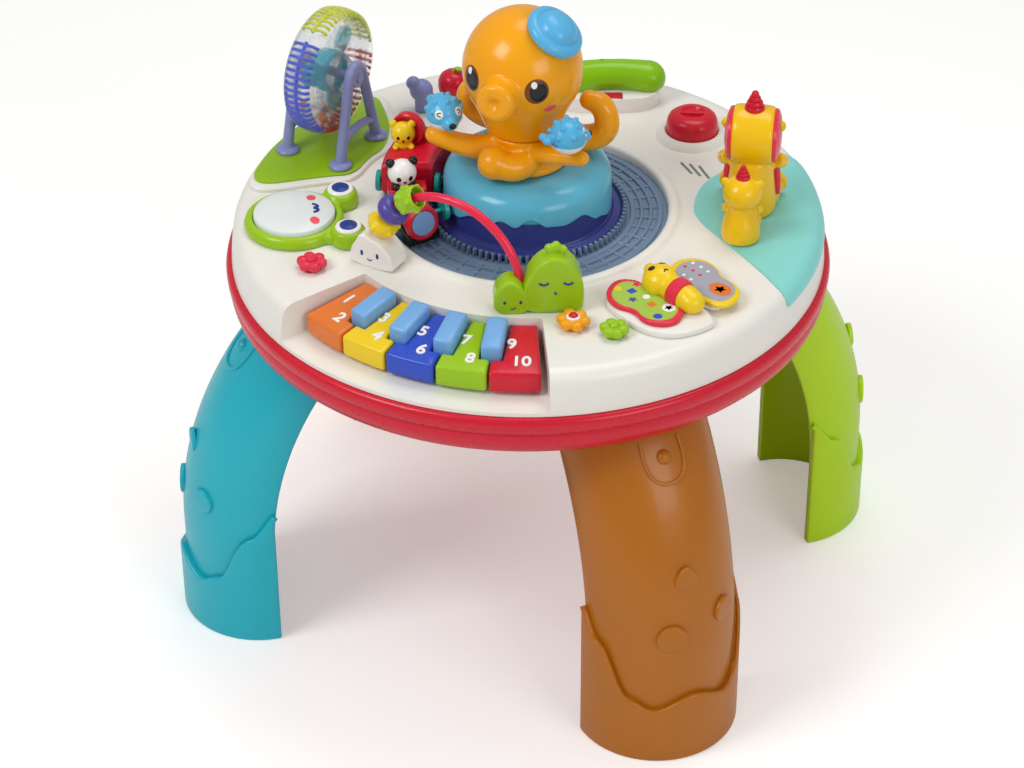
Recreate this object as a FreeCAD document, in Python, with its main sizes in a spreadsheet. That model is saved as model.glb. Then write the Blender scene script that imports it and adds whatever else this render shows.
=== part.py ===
import FreeCAD, Part
import Sketcher
import math
import os
import re

from FreeCAD import Placement, Rotation, Vector

# A toddler's musical activity table, in millimetres. The floor is z = 0, the table's axis is Z and the
# piano keys face -Y. Heights in the profiles are measured from the deck, the plane where the red tray
# meets the white panel, unless a comment says otherwise. Bearings are degrees from +X, seen from above.

doc = FreeCAD.newDocument("ActivityTable")
sheet = doc.addObject("Spreadsheet::Sheet", "Sizes")

SIZES = [
    # table
    ("deck_height", 265),
    ("rim_radius", 205),
    ("wall", 3),
    ("tray_depth", 33),
    ("panel_rise", 30),
    ("lip_radius", 104),
    ("track_floor", 25.7),
    ("channel_radius", 96.5),
    # legs
    ("leg_centre", 201),
    ("leg_radius", 52.6),
    ("leg_sweep", 92),
    ("leg_curve", 233),
    ("leg_straight", 75),
    ("sleeve_step", 4.4),
    ("sleeve_side", 117),
    ("sleeve_dip", 44),
    ("sleeve_middle", 54),
    # piano
    ("keys_start", -117.25),
    ("key_pitch", 10.9),
    ("key_inner", 136.4),
    ("key_outer", 187),
    ("key_gap", 0.4),
    ("recess_inner", 136),
    ("recess_floor", 3),
    ("sharp_width", 14),
    ("sharp_inner", 139),
    ("sharp_outer", 171),
    # island, track and train
    ("island_radius", 56.2),
    ("island_foot", 65),
    ("dome_radius", 57.6),
    ("dome_top", 70),
    ("ring_teeth", 90),
    ("pinion_teeth", 10),
    ("gear_module", 1.5),
    ("train_radius", 82.5),
    ("wheel_radius", 7.5),
    ("wheel_level", 45),
    ("axle_half", 18.6),
    ("wheel_width", 3.4),
    ("wagon_half", 18),
    # octopus
    ("neck_level", 94),
    ("head_level", 140),
    ("head_radius", 40.5),
    ("head_height", 42),
    ("arm_reach", 48),
    ("fish_radius", 12.5),
    # drum wheel
    ("drum_bearing", 174.9),
    ("drum_station", 159),
    ("drum_level", 94),
    ("drum_radius", 45),
    ("drum_half", 12),
    ("stand_offset", 22),
    ("spindle_radius", 3),
    # bead arch
    ("arch_yaw", -4.7),
    ("arch_x", -8),
    ("arch_y", -107.6),
    ("arch_level", 41),
    ("arch_radius", 54),
    ("rod_radius", 3),
    # buttons, knob and phone
    ("frog_station", 160.3),
    ("frog_bearing", -147.8),
    ("frog_radius", 34),
    ("pad_radius", 28),
    ("knob_station", 151.6),
    ("knob_bearing", 63.8),
    ("knob_radius", 18.5),
    ("knob_rise", 19),
    ("phone_yaw", 24.3),
    ("handset_length", 74),
    ("handset_radius", 13),
]
for row, (alias, value) in enumerate(SIZES, 1):
    sheet.set("A%d" % row, str(value))
    sheet.setAlias("A%d" % row, alias)
doc.recompute()

WORD = re.compile(r"\b(%s)\b" % "|".join(alias for alias, value in SIZES))
PIECES = []


def size(alias):
    return float(sheet.get(alias))


def bind(thing, prop, text):
    thing.setExpression(prop, WORD.sub(lambda found: "Sizes." + found.group(0), text))


def keep(thing):
    """List a finished sub-part for the checks and the STEP files."""
    PIECES.append(thing)
    return thing


def place(thing, station="0", bearing="0", level="0", yaw=None):
    """Stand a piece at a polar position over the deck, turned about the vertical."""
    thing.Placement = Placement(Vector(0, 0, 0), Rotation(Vector(0, 0, 1), 1))
    bind(thing, "Placement.Base.x", "(%s) * cos(%s)" % (station, bearing))
    bind(thing, "Placement.Base.y", "(%s) * sin(%s)" % (station, bearing))
    bind(thing, "Placement.Base.z", "deck_height + (%s)" % level)
    bind(thing, "Placement.Rotation.Angle", yaw if yaw is not None else bearing)
    return thing


def body(name):
    piece = doc.addObject("PartDesign::Body", name)
    piece.Label = name
    return place(piece)


def sketch(piece, name, role, offset=None):
    made = piece.newObject("Sketcher::SketchObject", name)
    for feature in piece.Origin.OriginFeatures:
        if feature.Role == role:
            made.AttachmentSupport = [(feature, "")]
    made.MapMode = "FlatFace"
    if offset is not None:
        made.AttachmentOffset = offset
    return made


def outline(made, points):
    """Draw a closed polyline whose corners are bound to expressions."""
    count = len(points)
    start = made.GeometryCount
    for step in range(count):
        first = 2 * math.pi * step / count
        second = 2 * math.pi * (step + 1) / count
        made.addGeometry(Part.LineSegment(
            Vector(100 + 50 * math.cos(first), 100 + 50 * math.sin(first), 0),
            Vector(100 + 50 * math.cos(second), 100 + 50 * math.sin(second), 0)), False)
    for step in range(count):
        made.addConstraint(Sketcher.Constraint(
            "Coincident", start + step, 2, start + (step + 1) % count, 1))
    for step, (across, along) in enumerate(points):
        for kind, text in (("DistanceX", across), ("DistanceY", along)):
            number = made.addConstraint(Sketcher.Constraint(kind, -1, 1, start + step, 1, 10.0))
            bind(made, "Constraints[%d]" % number, str(text))
    return made


def disc(made, radius, across="0", along="0"):
    """Draw a bound circle in a sketch."""
    number = made.addGeometry(Part.Circle(Vector(7, 7, 0), Vector(0, 0, 1), 5), False)
    for kind, text in (("DistanceX", across), ("DistanceY", along)):
        held = made.addConstraint(Sketcher.Constraint(kind, -1, 1, number, 3, 5.0))
        bind(made, "Constraints[%d]" % held, str(text))
    held = made.addConstraint(Sketcher.Constraint("Radius", number, 5))
    bind(made, "Constraints[%d]" % held, str(radius))
    return made


def turned(piece, name, points, axis="V_Axis", cut=False, sweep=None, bearing=None):
    """Revolve a profile. V_Axis is the vertical, H_Axis the piece's own X."""
    offset = None
    if bearing is not None:
        offset = Placement(Vector(0, 0, 0), Rotation(Vector(0, 1, 0), 1))
    made = sketch(piece, name + "_profile", "XZ_Plane", offset)
    if bearing is not None:
        bind(made, "AttachmentOffset.Rotation.Angle", str(bearing))
    outline(made, points)
    kind = "PartDesign::Groove" if cut else "PartDesign::Revolution"
    feature = piece.newObject(kind, name)
    feature.Profile = made
    feature.ReferenceAxis = (made, [axis])
    if sweep is None:
        feature.Angle = 360
    else:
        feature.Midplane = True
        bind(feature, "Angle", str(sweep))
    made.Visibility = False
    return feature


def padded(piece, name, draw, height, role="XY_Plane", start="0", cut=False, middle=False):
    """Pad or pocket what draw() puts in a sketch that starts at a bound height."""
    made = sketch(piece, name + "_outline", role, Placement(Vector(0, 0, 1), Rotation()))
    bind(made, "AttachmentOffset.Base.z", start)
    draw(made)
    feature = piece.newObject("PartDesign::Pocket" if cut else "PartDesign::Pad", name)
    feature.Profile = made
    bind(feature, "Length", height)
    if middle:
        feature.Midplane = True
    made.Visibility = False
    return feature


def polar(points):
    """Turn (station, bearing) pairs into bound corner coordinates."""
    return [("(%s) * cos(%s)" % pair, "(%s) * sin(%s)" % pair) for pair in points]


def shaped(name, solid):
    """A sub-part that neither features nor primitives describe well."""
    made = doc.addObject("Part::Feature", name)
    made.Label = name
    made.Shape = solid
    place(made)
    return keep(made)


def merged(name, things):
    made = doc.addObject("Part::MultiFuse", name)
    made.Label = name
    made.Shapes = things
    return keep(made)


def ball(name, radius, across, along, level):
    made = doc.addObject("Part::Sphere", name)
    bind(made, "Radius", str(radius))
    bind(made, "Placement.Base.x", str(across))
    bind(made, "Placement.Base.y", str(along))
    bind(made, "Placement.Base.z", "deck_height + (%s)" % level)
    return made


# ---- tray: the red base, open inside, with the battery compartment's opening ----
tray = body("tray")
turned(tray, "tray_shell", [
    ("0", "-tray_depth"), ("rim_radius - 15", "-tray_depth"), ("rim_radius - 5", "2 - tray_depth"),
    ("rim_radius - 2", "6 - tray_depth"), ("rim_radius + 1", "9 - tray_depth"),
    ("rim_radius + 2.5", "-16"), ("rim_radius + 1.3", "-13"), ("rim_radius + 3", "-11.5"),
    ("rim_radius + 4", "-4"), ("rim_radius + 2.8", "-1.2"), ("rim_radius", "0"),
    ("rim_radius - wall", "0"), ("rim_radius - 1.8", "-11"), ("rim_radius - 1.8", "9 - tray_depth"),
    ("rim_radius - 7", "wall + 1 - tray_depth"), ("rim_radius - 16", "wall - tray_depth"),
    ("0", "wall - tray_depth")])
padded(tray, "battery_opening", lambda made: outline(made, [
    ("-45", "-30"), ("45", "-30"), ("45", "30"), ("-45", "30")]),
    "wall + 2", start="wall + 1 - tray_depth", cut=True)
keep(tray)

# ---- panel: the white top, the keyboard recess, the knob collar and the phone's cradle ----
panel = body("panel")
turned(panel, "panel_shell", [
    ("rim_radius", "0"), ("rim_radius - 2", "panel_rise - 10"), ("rim_radius - 3.4", "panel_rise - 5"),
    ("rim_radius - 6.5", "panel_rise - 1.5"), ("rim_radius - 11", "panel_rise"),
    ("lip_radius", "panel_rise"), ("lip_radius - 1.2", "panel_rise + 2.6"),
    ("lip_radius - 3", "panel_rise + 3.2"), ("lip_radius - 6", "panel_rise + 3"),
    ("channel_radius", "panel_rise + 1.5"), ("channel_radius", "track_floor"), ("6", "track_floor"),
    ("6", "track_floor - wall"), ("channel_radius + 2", "track_floor - wall"),
    ("channel_radius + 4", "panel_rise - wall"), ("rim_radius - 12", "panel_rise - wall"),
    ("rim_radius - 8", "panel_rise - 4.5"), ("rim_radius - 5.5", "panel_rise - 9"),
    ("rim_radius - wall", "0")])
MIDDLE = "keys_start + 2.5 * key_pitch"
turned(panel, "recess_block", [
    ("recess_inner - wall", "0"), ("rim_radius - 1", "0"), ("rim_radius - wall", "panel_rise - 8"),
    ("rim_radius - 8", "panel_rise - 2"), ("recess_inner - wall", "panel_rise - 2")],
    sweep="5 * key_pitch + 5", bearing=MIDDLE)
turned(panel, "recess", [
    ("recess_inner", "recess_floor"), ("rim_radius + 9", "recess_floor"),
    ("rim_radius + 9", "panel_rise + 9"), ("recess_inner", "panel_rise + 9")],
    cut=True, sweep="5 * key_pitch + 2.2", bearing=MIDDLE)
PLATEAU = [(126, -174), (127, 176), (124, 168), (140, 158), (163, 153), (184, 150.5), (193, 156),
           (194, 166), (194, 180), (194, -171), (194, -165), (184, -163.5), (160, -167), (144, -170)]
padded(panel, "leaf_plateau", lambda made: outline(made, polar(PLATEAU)),
       "4", start="panel_rise - 1")
padded(panel, "knob_collar", lambda made: disc(
    made, "knob_radius + 5.5", "knob_station * cos(knob_bearing)", "knob_station * sin(knob_bearing)"),
    "6", start="panel_rise - 1")
padded(panel, "knob_well", lambda made: disc(
    made, "knob_radius + 0.4", "knob_station * cos(knob_bearing)", "knob_station * sin(knob_bearing)"),
    "4.5", start="panel_rise + 5.5", cut=True)


def cradle(made):
    """The phone's raised seat, drawn along the handset."""
    turn = math.radians(size("phone_yaw"))
    corners = [(-40, -13), (-31, -21), (18, -21), (31, -13), (34, 0), (31, 11), (-31, 11), (-40, 2)]
    outline(made, [("%.3f" % (-4 + x * math.cos(turn) - y * math.sin(turn)),
                    "%.3f" % (161 + x * math.sin(turn) + y * math.cos(turn))) for x, y in corners])


padded(panel, "phone_cradle", cradle, "13", start="panel_rise - 1")


def key_well(made):
    turn = math.radians(size("phone_yaw"))
    outline(made, [("%.3f" % (-0.15 + x * math.cos(turn) - y * math.sin(turn)),
                    "%.3f" % (145.2 + x * math.sin(turn) + y * math.cos(turn)))
                   for x, y in ((-8.8, -4.3), (8.8, -4.3), (8.8, 4.3), (-8.8, 4.3))])


padded(panel, "phone_key_well", key_well, "6", start="panel_rise + 14.4", cut=True)
for number, (station, bearing) in enumerate(((122.6, 50), (127, 47.8), (131.7, 45.6))):
    padded(panel, "speaker_slot_%d" % number, lambda made: outline(made, polar([
        (station - 1, bearing - 5), (station + 1.2, bearing - 5), (station + 1.2, bearing + 3),
        (station - 1, bearing + 3)])), "9", start="panel_rise + 4", cut=True)
keep(panel)

# ---- leaves: coloured skins that follow the panel's shoulder ----
SKIN = [("lip_radius + 2", "panel_rise + 0"), ("rim_radius - 11", "panel_rise"),
        ("rim_radius - 6.5", "panel_rise - 1.5"), ("rim_radius - 3.4", "panel_rise - 5"),
        ("rim_radius - 2", "panel_rise - 10"), ("rim_radius - 0.4", "panel_rise - 10"),
        ("rim_radius - 1.7", "panel_rise - 4.2"), ("rim_radius - 5.4", "panel_rise - 0.1"),
        ("rim_radius - 10.6", "panel_rise + 1.6"), ("lip_radius + 2", "panel_rise + 1.6")]
LEAF_TEAL = [(112.8, 22.7), (122, 36), (140, 42), (165, 44.5), (190, 46), (200, 43), (212, 36), (216, 20),
             (212, 0), (208, -8), (196, -8), (182, -5), (160, 0), (138, 6), (120, 14)]
leaf_teal = body("leaf_teal")
turned(leaf_teal, "leaf_skin", SKIN, sweep="70", bearing="20")
padded(leaf_teal, "leaf_trim", lambda made: (disc(made, "300"), outline(made, polar(LEAF_TEAL))),
       "40", start="panel_rise + 12", cut=True)
keep(leaf_teal)

LEAF_GREEN = [(130.5, -176), (131, 176), (129, 170), (142, 161), (163, 156), (183, 153.5), (190, 158),
              (191, 168), (191, 180), (191, -171), (190, -167), (183, -166), (160, -169.5), (145, -172.5)]
leaf_green = body("leaf_green")
padded(leaf_green, "leaf", lambda made: outline(made, polar(LEAF_GREEN)),
       "1.4", start="panel_rise + 3")
keep(leaf_green)

# ---- track ring with its rails and rack teeth ----
track = body("track_plate")
turned(track, "track_plate", [
    ("island_foot + 0.3", "track_floor"), ("channel_radius - 0.3", "track_floor"),
    ("channel_radius - 0.3", "track_floor + 1.2"), ("93", "track_floor + 1.2"),
    ("92.6", "track_floor + 2.4"), ("89.6", "track_floor + 2.4"), ("89.2", "track_floor + 1"),
    ("86", "track_floor + 1"), ("85.6", "track_floor + 2.6"), ("83.6", "track_floor + 2.6"),
    ("83.4", "track_floor + 0.8"), ("79.6", "track_floor + 0.8"), ("79.4", "track_floor + 2.6"),
    ("77.4", "track_floor + 2.6"), ("77", "track_floor + 1"), ("74.2", "track_floor + 1"),
    ("73.8", "track_floor + 2.4"), ("70.8", "track_floor + 2.4"), ("70.4", "track_floor + 1.2"),
    ("island_foot + 0.3", "track_floor + 1.2")])


def gear(teeth, module, low, high, bore, outside=True, slack=0.0):
    """A straight-flanked spur gear on the Z axis, with a tooth gap on +X."""
    pitch = teeth * module / 2.0
    step = 2 * math.pi / teeth
    corners = []
    for tooth in range(teeth):
        middle = (tooth + 0.5) * step
        for radius, share in ((pitch - 1.15 * module, -0.30), (pitch + 0.85 * module, -0.11),
                              (pitch + 0.85 * module, 0.11), (pitch - 1.15 * module, 0.30)):
            angle = middle + share * step
            corners.append(Vector(radius * math.cos(angle), radius * math.sin(angle), low))
    face = Part.Face(Part.makePolygon(corners + corners[:1]))
    solid = face.extrude(Vector(0, 0, high - low))
    if bore > 0:
        solid = solid.cut(Part.makeCylinder(bore, high - low, Vector(0, 0, low)))
    return solid


ring_gear = gear(int(size("ring_teeth")), size("gear_module"), size("track_floor") + 1, 33.0,
                 size("island_foot") + 0.3)
rack = doc.addObject("Part::Feature", "rack_teeth")
rack.Shape = ring_gear
place(rack)
merged("track_ring", [track, rack])

# ---- island: the navy foot under the dome ----
island = body("island_base")
turned(island, "island_shell", [
    ("6", "track_floor"), ("island_foot", "track_floor"), ("island_foot", "30.5"),
    ("island_foot - 1.5", "31.7"), ("island_foot - 6", "32.2"), ("island_radius", "34"),
    ("island_radius", "54"), ("6", "54"), ("6", "50"), ("island_radius - wall", "50"),
    ("island_radius - wall", "track_floor + 3"), ("6", "track_floor + 3")])
keep(island)

# ---- dome with a wavy lower edge ----
WAVES = [(-155, 35), (-140, 36), (-122, 43), (-106, 50), (-94, 47), (-84, 53), (-74, 49), (-64, 56),
         (-52, 49), (-40, 48), (-26, 51), (-10, 42), (8, 36), (25, 35), (50, 38), (75, 46), (100, 40),
         (125, 47), (150, 40), (178, 37)]


def wave_ring(points, inner, outer, drop):
    """A solid under a closed wavy sheet between two radii."""
    loops = []
    for radius in (inner, outer):
        curve = Part.BSplineCurve()
        curve.interpolate([Vector(radius * math.cos(math.radians(a)), radius * math.sin(math.radians(a)), z)
                           for a, z in points], PeriodicFlag=True)
        loops.append(curve.toShape())
    sheet_face = Part.makeRuledSurface(loops[0], loops[1])
    return sheet_face.extrude(Vector(0, 0, -drop))


def dome_shape():
    radius = size("dome_radius")
    top = size("dome_top")
    inner = size("island_radius") + 0.3
    outer = [Vector(inner, 0, 30), Vector(radius, 0, 30), Vector(radius, 0, top - 15)]
    bend = Part.Arc(outer[-1], Vector(radius - 15 * (1 - math.cos(math.pi / 4)), 0,
                                      top - 15 + 15 * math.sin(math.pi / 4)),
                    Vector(radius - 15, 0, top))
    edges = [Part.makeLine(outer[0], outer[1]), Part.makeLine(outer[1], outer[2]), bend.toShape()]
    rest = [Vector(radius - 15, 0, top), Vector(6, 0, top), Vector(6, 0, 54), Vector(inner, 0, 54),
            Vector(inner, 0, 30)]
    for first, second in zip(rest, rest[1:]):
        edges.append(Part.makeLine(first, second))
    solid = Part.Face(Part.Wire(edges)).revolve(Vector(0, 0, 0), Vector(0, 0, 1), 360)
    return solid.cut(wave_ring(WAVES, inner - 2, radius + 4, 30))


shaped("wave_dome", dome_shape())

# ---- legs: C-section columns, each with a wavy sleeve above the foot ----
def leg_section(radius, thickness, lean, level):
    """One horizontal C section, open towards the table's middle."""
    half = math.radians(size("leg_sweep"))
    loops = []
    for r in (radius, radius - thickness):
        loops.append([Vector(lean + r * math.cos(a), r * math.sin(a), level) for a in (-half, 0, half)])
    outer = Part.Arc(*loops[0]).toShape()
    inner = Part.Arc(*loops[1]).toShape()
    return Part.Wire([outer, Part.makeLine(loops[0][2], loops[1][2]), inner,
                      Part.makeLine(loops[1][0], loops[0][0])])


def leg_shape():
    floor_level = -size("deck_height")
    knee = floor_level + size("leg_straight")
    curve = size("leg_curve")
    sections = []
    count = 5
    for step in range(count + 1):
        level = -size("tray_depth") + (knee + size("tray_depth")) * step / count
        drop = curve - math.sqrt(curve ** 2 - (level - knee) ** 2)
        sections.append(leg_section(size("leg_radius"), size("wall"), size("leg_centre") - drop, level))
    column = Part.makeLoft(sections, True)
    foot = Part.Face(leg_section(size("leg_radius"), size("wall"), size("leg_centre"), floor_level))
    column = column.fuse(foot.extrude(Vector(0, 0, size("leg_straight"))))
    sleeve = Part.Face(leg_section(size("leg_radius") + size("sleeve_step"), size("sleeve_step") + 1,
                                   size("leg_centre"), floor_level))
    sleeve = sleeve.extrude(Vector(0, 0, size("sleeve_side") + 5))
    side = floor_level + size("sleeve_side")
    dip = floor_level + size("sleeve_dip")
    middle = floor_level + size("sleeve_middle")
    wave = [(-118, side), (-96, side - 6), (-72, (side + dip) / 2 + 8), (-48, dip + 8), (-30, dip),
            (0, middle), (30, dip), (48, dip + 8), (72, (side + dip) / 2 + 8), (96, side - 6), (118, side)]
    ends = []
    for radius in (size("leg_radius") - 6, size("leg_radius") + size("sleeve_step") + 9):
        line = Part.BSplineCurve()
        line.interpolate([Vector(size("leg_centre") + radius * math.cos(math.radians(a)),
                                 radius * math.sin(math.radians(a)), z) for a, z in wave])
        ends.append(line.toShape())
    above = Part.makeRuledSurface(ends[0], ends[1]).extrude(Vector(0, 0, 140))
    return column.fuse(sleeve.cut(above)).removeSplitter()


leg = leg_shape()
for colour, bearing in (("teal", -140), ("brown", -40), ("green", 40), ("rear", 140)):
    made = shaped("leg_" + colour, leg)
    place(made, "0", "0", "0", yaw=str(bearing))

# ---- piano: five keys, notched for four sharps ----
for number in range(5):
    key = body("key_%d" % (number + 1))
    centre = "keys_start + key_pitch * %.1f" % (number + 0.5)
    place(key, "0", "0", "0", yaw=centre)
    turned(key, "key_block", [
        ("key_inner", "recess_floor + 0.4"), ("key_outer", "recess_floor + 2.4"),
        ("key_outer", "20"), ("key_outer - 1.5", "21.2"), ("key_inner", "26")],
        sweep="key_pitch - key_gap", bearing="0")
    for side in (-1, 1):
        if (number == 0 and side < 0) or (number == 4 and side > 0):
            continue
        angle = "%d * key_pitch / 2" % side
        corners = []
        for along, half in (("key_inner - 2", -1), ("sharp_outer + 1.2", -1),
                            ("sharp_outer + 1.2", 1), ("key_inner - 2", 1)):
            reach = "(%d * (sharp_width / 2 + 0.8))" % half
            corners.append(("(%s) * cos(%s) - %s * sin(%s)" % (along, angle, reach, angle),
                            "(%s) * sin(%s) + %s * cos(%s)" % (along, angle, reach, angle)))
        padded(key, "notch_left" if side > 0 else "notch_right",
               lambda made: outline(made, corners), "40", start="32", cut=True)
    keep(key)
for number in range(4):
    sharp = body("sharp_%d" % (number + 1))
    place(sharp, "0", "0", "0", yaw="keys_start + key_pitch * %d" % (number + 1))
    padded(sharp, "sharp_block", lambda made: outline(made, [
        ("sharp_inner", "recess_floor + 0.4"), ("sharp_outer", "recess_floor + 2.2"),
        ("sharp_outer", "28"), ("sharp_outer - 2.5", "30.4"), ("sharp_inner + 2.5", "34"),
        ("sharp_inner", "32.5")]), "sharp_width", role="XZ_Plane", start="0", middle=True)
    keep(sharp)

# ---- frog button: body with two eye lobes, and the sprung pad ----
frog = place(body("frog_rim"), "frog_station", "frog_bearing", "0", yaw="0")
turned(frog, "frog_dish", [
    ("0", "panel_rise"), ("frog_radius", "panel_rise"), ("frog_radius", "panel_rise + 4"),
    ("frog_radius - 2", "panel_rise + 7.5"), ("pad_radius + 1.5", "panel_rise + 8.6"),
    ("pad_radius + 0.3", "panel_rise + 8"), ("pad_radius + 0.3", "panel_rise + 4"),
    ("0", "panel_rise + 4")])
lobes = []
for number, (station, bearing) in enumerate(((128.8, -158), (128.2, -136.1))):
    lobe = doc.addObject("Part::Cone", "eye_lobe_%d" % number)
    lobe.Radius1 = 12
    lobe.Radius2 = 10
    lobe.Height = 11
    place(lobe, str(station), str(bearing), "panel_rise")
    web = doc.addObject("Part::Cylinder", "eye_web_%d" % number)
    web.Radius = 9.5
    web.Height = 6.5
    place(web, str(station + 10), str(bearing + (3.5 if number == 0 else -3.5)), "panel_rise")
    lobes += [lobe, web]
hollow = doc.addObject("Part::Cylinder", "pad_clearance")
bind(hollow, "Radius", "pad_radius + 0.3")
hollow.Height = 30
place(hollow, "frog_station", "frog_bearing", "panel_rise + 4", yaw="0")
joined = doc.addObject("Part::MultiFuse", "frog_mass")
joined.Shapes = [frog] + lobes
frog_body = doc.addObject("Part::Cut", "frog_body")
frog_body.Label = "frog_body"
frog_body.Base = joined
frog_body.Tool = hollow
keep(frog_body)

pad = place(body("frog_pad"), "frog_station", "frog_bearing", "0")
turned(pad, "pad", [
    ("0", "panel_rise + 6.4"), ("pad_radius", "panel_rise + 6.4"), ("pad_radius", "panel_rise + 11"),
    ("pad_radius - 3", "panel_rise + 13"), ("0", "panel_rise + 14.5")])
keep(pad)

# ---- flower buttons ----
for colour, station, bearing in (("red", 162.6, -127.8), ("orange", 148.4, -54.2), ("green", 165, -45.9)):
    flower = place(body("flower_" + colour), str(station), str(bearing), "0")

    def petals(made, reach):
        corners = []
        for step in range(36):
            angle = 10 * step
            corners.append(polar([("%.2f" % (reach * (1 + 0.11 * math.cos(math.radians(6 * angle)))),
                                   str(angle))])[0])
        outline(made, corners)

    padded(flower, "flower_petals", lambda made: petals(made, 10.4), "5.2", start="panel_rise + 2.4")
    padded(flower, "flower_stem", lambda made: disc(made, "6"), "5.7", start="panel_rise - 3.2")
    keep(flower)
    padded(panel, "flower_hole_" + colour, lambda made: disc(
        made, "6.3", "%s * cos(%s)" % (station, bearing), "%s * sin(%s)" % (station, bearing)),
        "12", start="panel_rise + 4", cut=True)

# ---- book: white base and left page, the bear between, and the page that flips ----
book = place(body("book_base"), "155", "-27", "0")
padded(book, "book_plinth", lambda made: outline(made, [
    ("-30", "-36"), ("26", "-44"), ("37", "-30"), ("37", "9"), ("-30", "9"), ("-34", "-8")]),
    "5", start="panel_rise")
padded(book, "left_page", lambda made: outline(made, [
    ("-25", "-33"), ("24", "-41"), ("32", "-36"), ("33", "-9"), ("-26", "-9")]),
    "3.4", start="panel_rise + 4.8")
padded(book, "page_rib", lambda made: outline(made, [
    ("-22", "9"), ("26", "9"), ("26", "24"), ("-22", "20")]), "3.2", start="panel_rise + 1.8")
keep(book)
wing = place(body("book_wing"), "155", "-27", "0")
padded(wing, "wing_page", lambda made: outline(made, [
    ("-20", "9.2"), ("-33", "20"), ("-33", "36"), ("-24", "42"), ("14", "43"), ("30", "33"),
    ("32", "14"), ("22", "9.2")]), "3", start="panel_rise + 5.5")
keep(wing)
bear = place(body("bear_figure"), "155", "-27", "0")
turned(bear, "bear_body", [
    ("-15", "0"), ("-15", "7"), ("-6", "8.2"), ("8", "8.2"), ("17", "6"), ("19", "0")], axis="H_Axis")
bind(bear, "Placement.Base.z", "deck_height + panel_rise + 5.2")
padded(bear, "bear_trim", lambda made: outline(made, [
    ("-60", "-60"), ("60", "-60"), ("60", "60"), ("-60", "60")]), "40", start="0", cut=True)
keep(bear)

# ---- bead arch: the rod, its two posts and three beads ----
rod = doc.addObject("Part::Torus", "rod_bow")
bind(rod, "Radius1", "arch_radius")
bind(rod, "Radius2", "rod_radius")
rod.Angle3 = 180
turn = Rotation(Vector(0, 0, 1), size("arch_yaw")).multiply(Rotation(Vector(1, 0, 0), 90))
rod.Placement = Placement(Vector(0, 0, 0), turn)
bind(rod, "Placement.Base.x", "arch_x")
bind(rod, "Placement.Base.y", "arch_y")
bind(rod, "Placement.Base.z", "deck_height + arch_level")
stubs = []
for side in (-1, 1):
    stub = doc.addObject("Part::Cylinder", "rod_end_%d" % (side + 1))
    bind(stub, "Radius", "rod_radius")
    bind(stub, "Height", "arch_level - panel_rise - 1")
    bind(stub, "Placement.Base.x", "arch_x + %d * arch_radius * cos(arch_yaw)" % side)
    bind(stub, "Placement.Base.y", "arch_y + %d * arch_radius * sin(arch_yaw)" % side)
    bind(stub, "Placement.Base.z", "deck_height + panel_rise + 1")
    stubs.append(stub)
merged("arch_rod", [rod] + stubs)


def socket(block, name, side, station, bearing, yaw):
    """Bore a post where the rod enters it; the rod leans inwards a little above the arch's centre."""
    run = side * (size("arch_radius") - 0.9)
    lean = math.radians(size("arch_yaw"))
    away = math.radians(bearing)
    across = size("arch_x") + run * math.cos(lean) - station * math.cos(away)
    along = size("arch_y") + run * math.sin(lean) - station * math.sin(away)
    turned_by = math.radians(yaw)
    spot = ("%.4f" % (across * math.cos(turned_by) + along * math.sin(turned_by)),
            "%.4f" % (along * math.cos(turned_by) - across * math.sin(turned_by)))
    padded(block, name + "_socket", lambda made: disc(made, "rod_radius + 1", spot[0], spot[1]),
           "59", start="60", cut=True)


CLOUD = [(-16, 0), (-17, 6), (-15.5, 13), (-12, 18), (-10, 23), (-6, 25), (-1.5, 22.3), (6, 21), (11, 17),
         (15.5, 12), (17, 6), (16, 0)]
BUSH = [(-29, 0), (-30, 12), (-27, 20), (-20, 25.5), (-13, 23), (-9, 19), (-7, 26), (-3, 34), (4, 40),
        (11, 42), (19, 39), (25, 32), (29, 22), (29.5, 10), (28.5, 0)]
for name, side, points, station, bearing in (("cloud", -1, CLOUD, 121, -121.2),
                                             ("bush", 1, BUSH, 122, -62.4)):
    yaw = size("arch_yaw") if side < 0 else bearing + 90
    post = place(body(name + "_post"), str(station), str(bearing), "panel_rise", yaw=str(yaw))
    padded(post, name + "_outline", lambda made: outline(made, points), "19",
           role="XZ_Plane", start="0", middle=True)
    socket(post, name, side, station, bearing, yaw)
    keep(post)

BEADS = [("yellow", 22, [(-6.2, 6), (-4.6, 9), (0, 10.5), (4.6, 9), (6.2, 6)]),
         ("purple", 38.6, [(-6.3, 6), (-4.6, 9.4), (0, 10.8), (4.6, 9.4), (6.3, 6)]),
         ("green", 57.6, [(-7.8, 7), (-6.2, 8.8), (0, 9.6), (6.2, 8.8), (7.8, 7)])]
for colour, along, profile in BEADS:
    bead = body("bead_" + colour)
    yaw = math.radians(size("arch_yaw"))
    rise = math.radians(along)
    tangent = Vector(math.cos(yaw) * math.sin(rise), math.sin(yaw) * math.sin(rise), math.cos(rise))
    bead.setExpression("Placement.Rotation.Angle", None)
    bead.Placement = Placement(Vector(0, 0, 0), Rotation(Vector(1, 0, 0), tangent))
    bind(bead, "Placement.Base.x", "arch_x - arch_radius * cos(%s) * cos(arch_yaw)" % along)
    bind(bead, "Placement.Base.y", "arch_y - arch_radius * cos(%s) * sin(arch_yaw)" % along)
    bind(bead, "Placement.Base.z", "deck_height + arch_level + arch_radius * sin(%s)" % along)
    ends = [(profile[0][0], "rod_radius + 0.7"), (profile[-1][0], "rod_radius + 0.7")]
    turned(bead, "bead_body", [(str(x), str(y)) for x, y in [ends[0]] + profile + [ends[1]]],
           axis="H_Axis")
    keep(bead)

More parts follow.
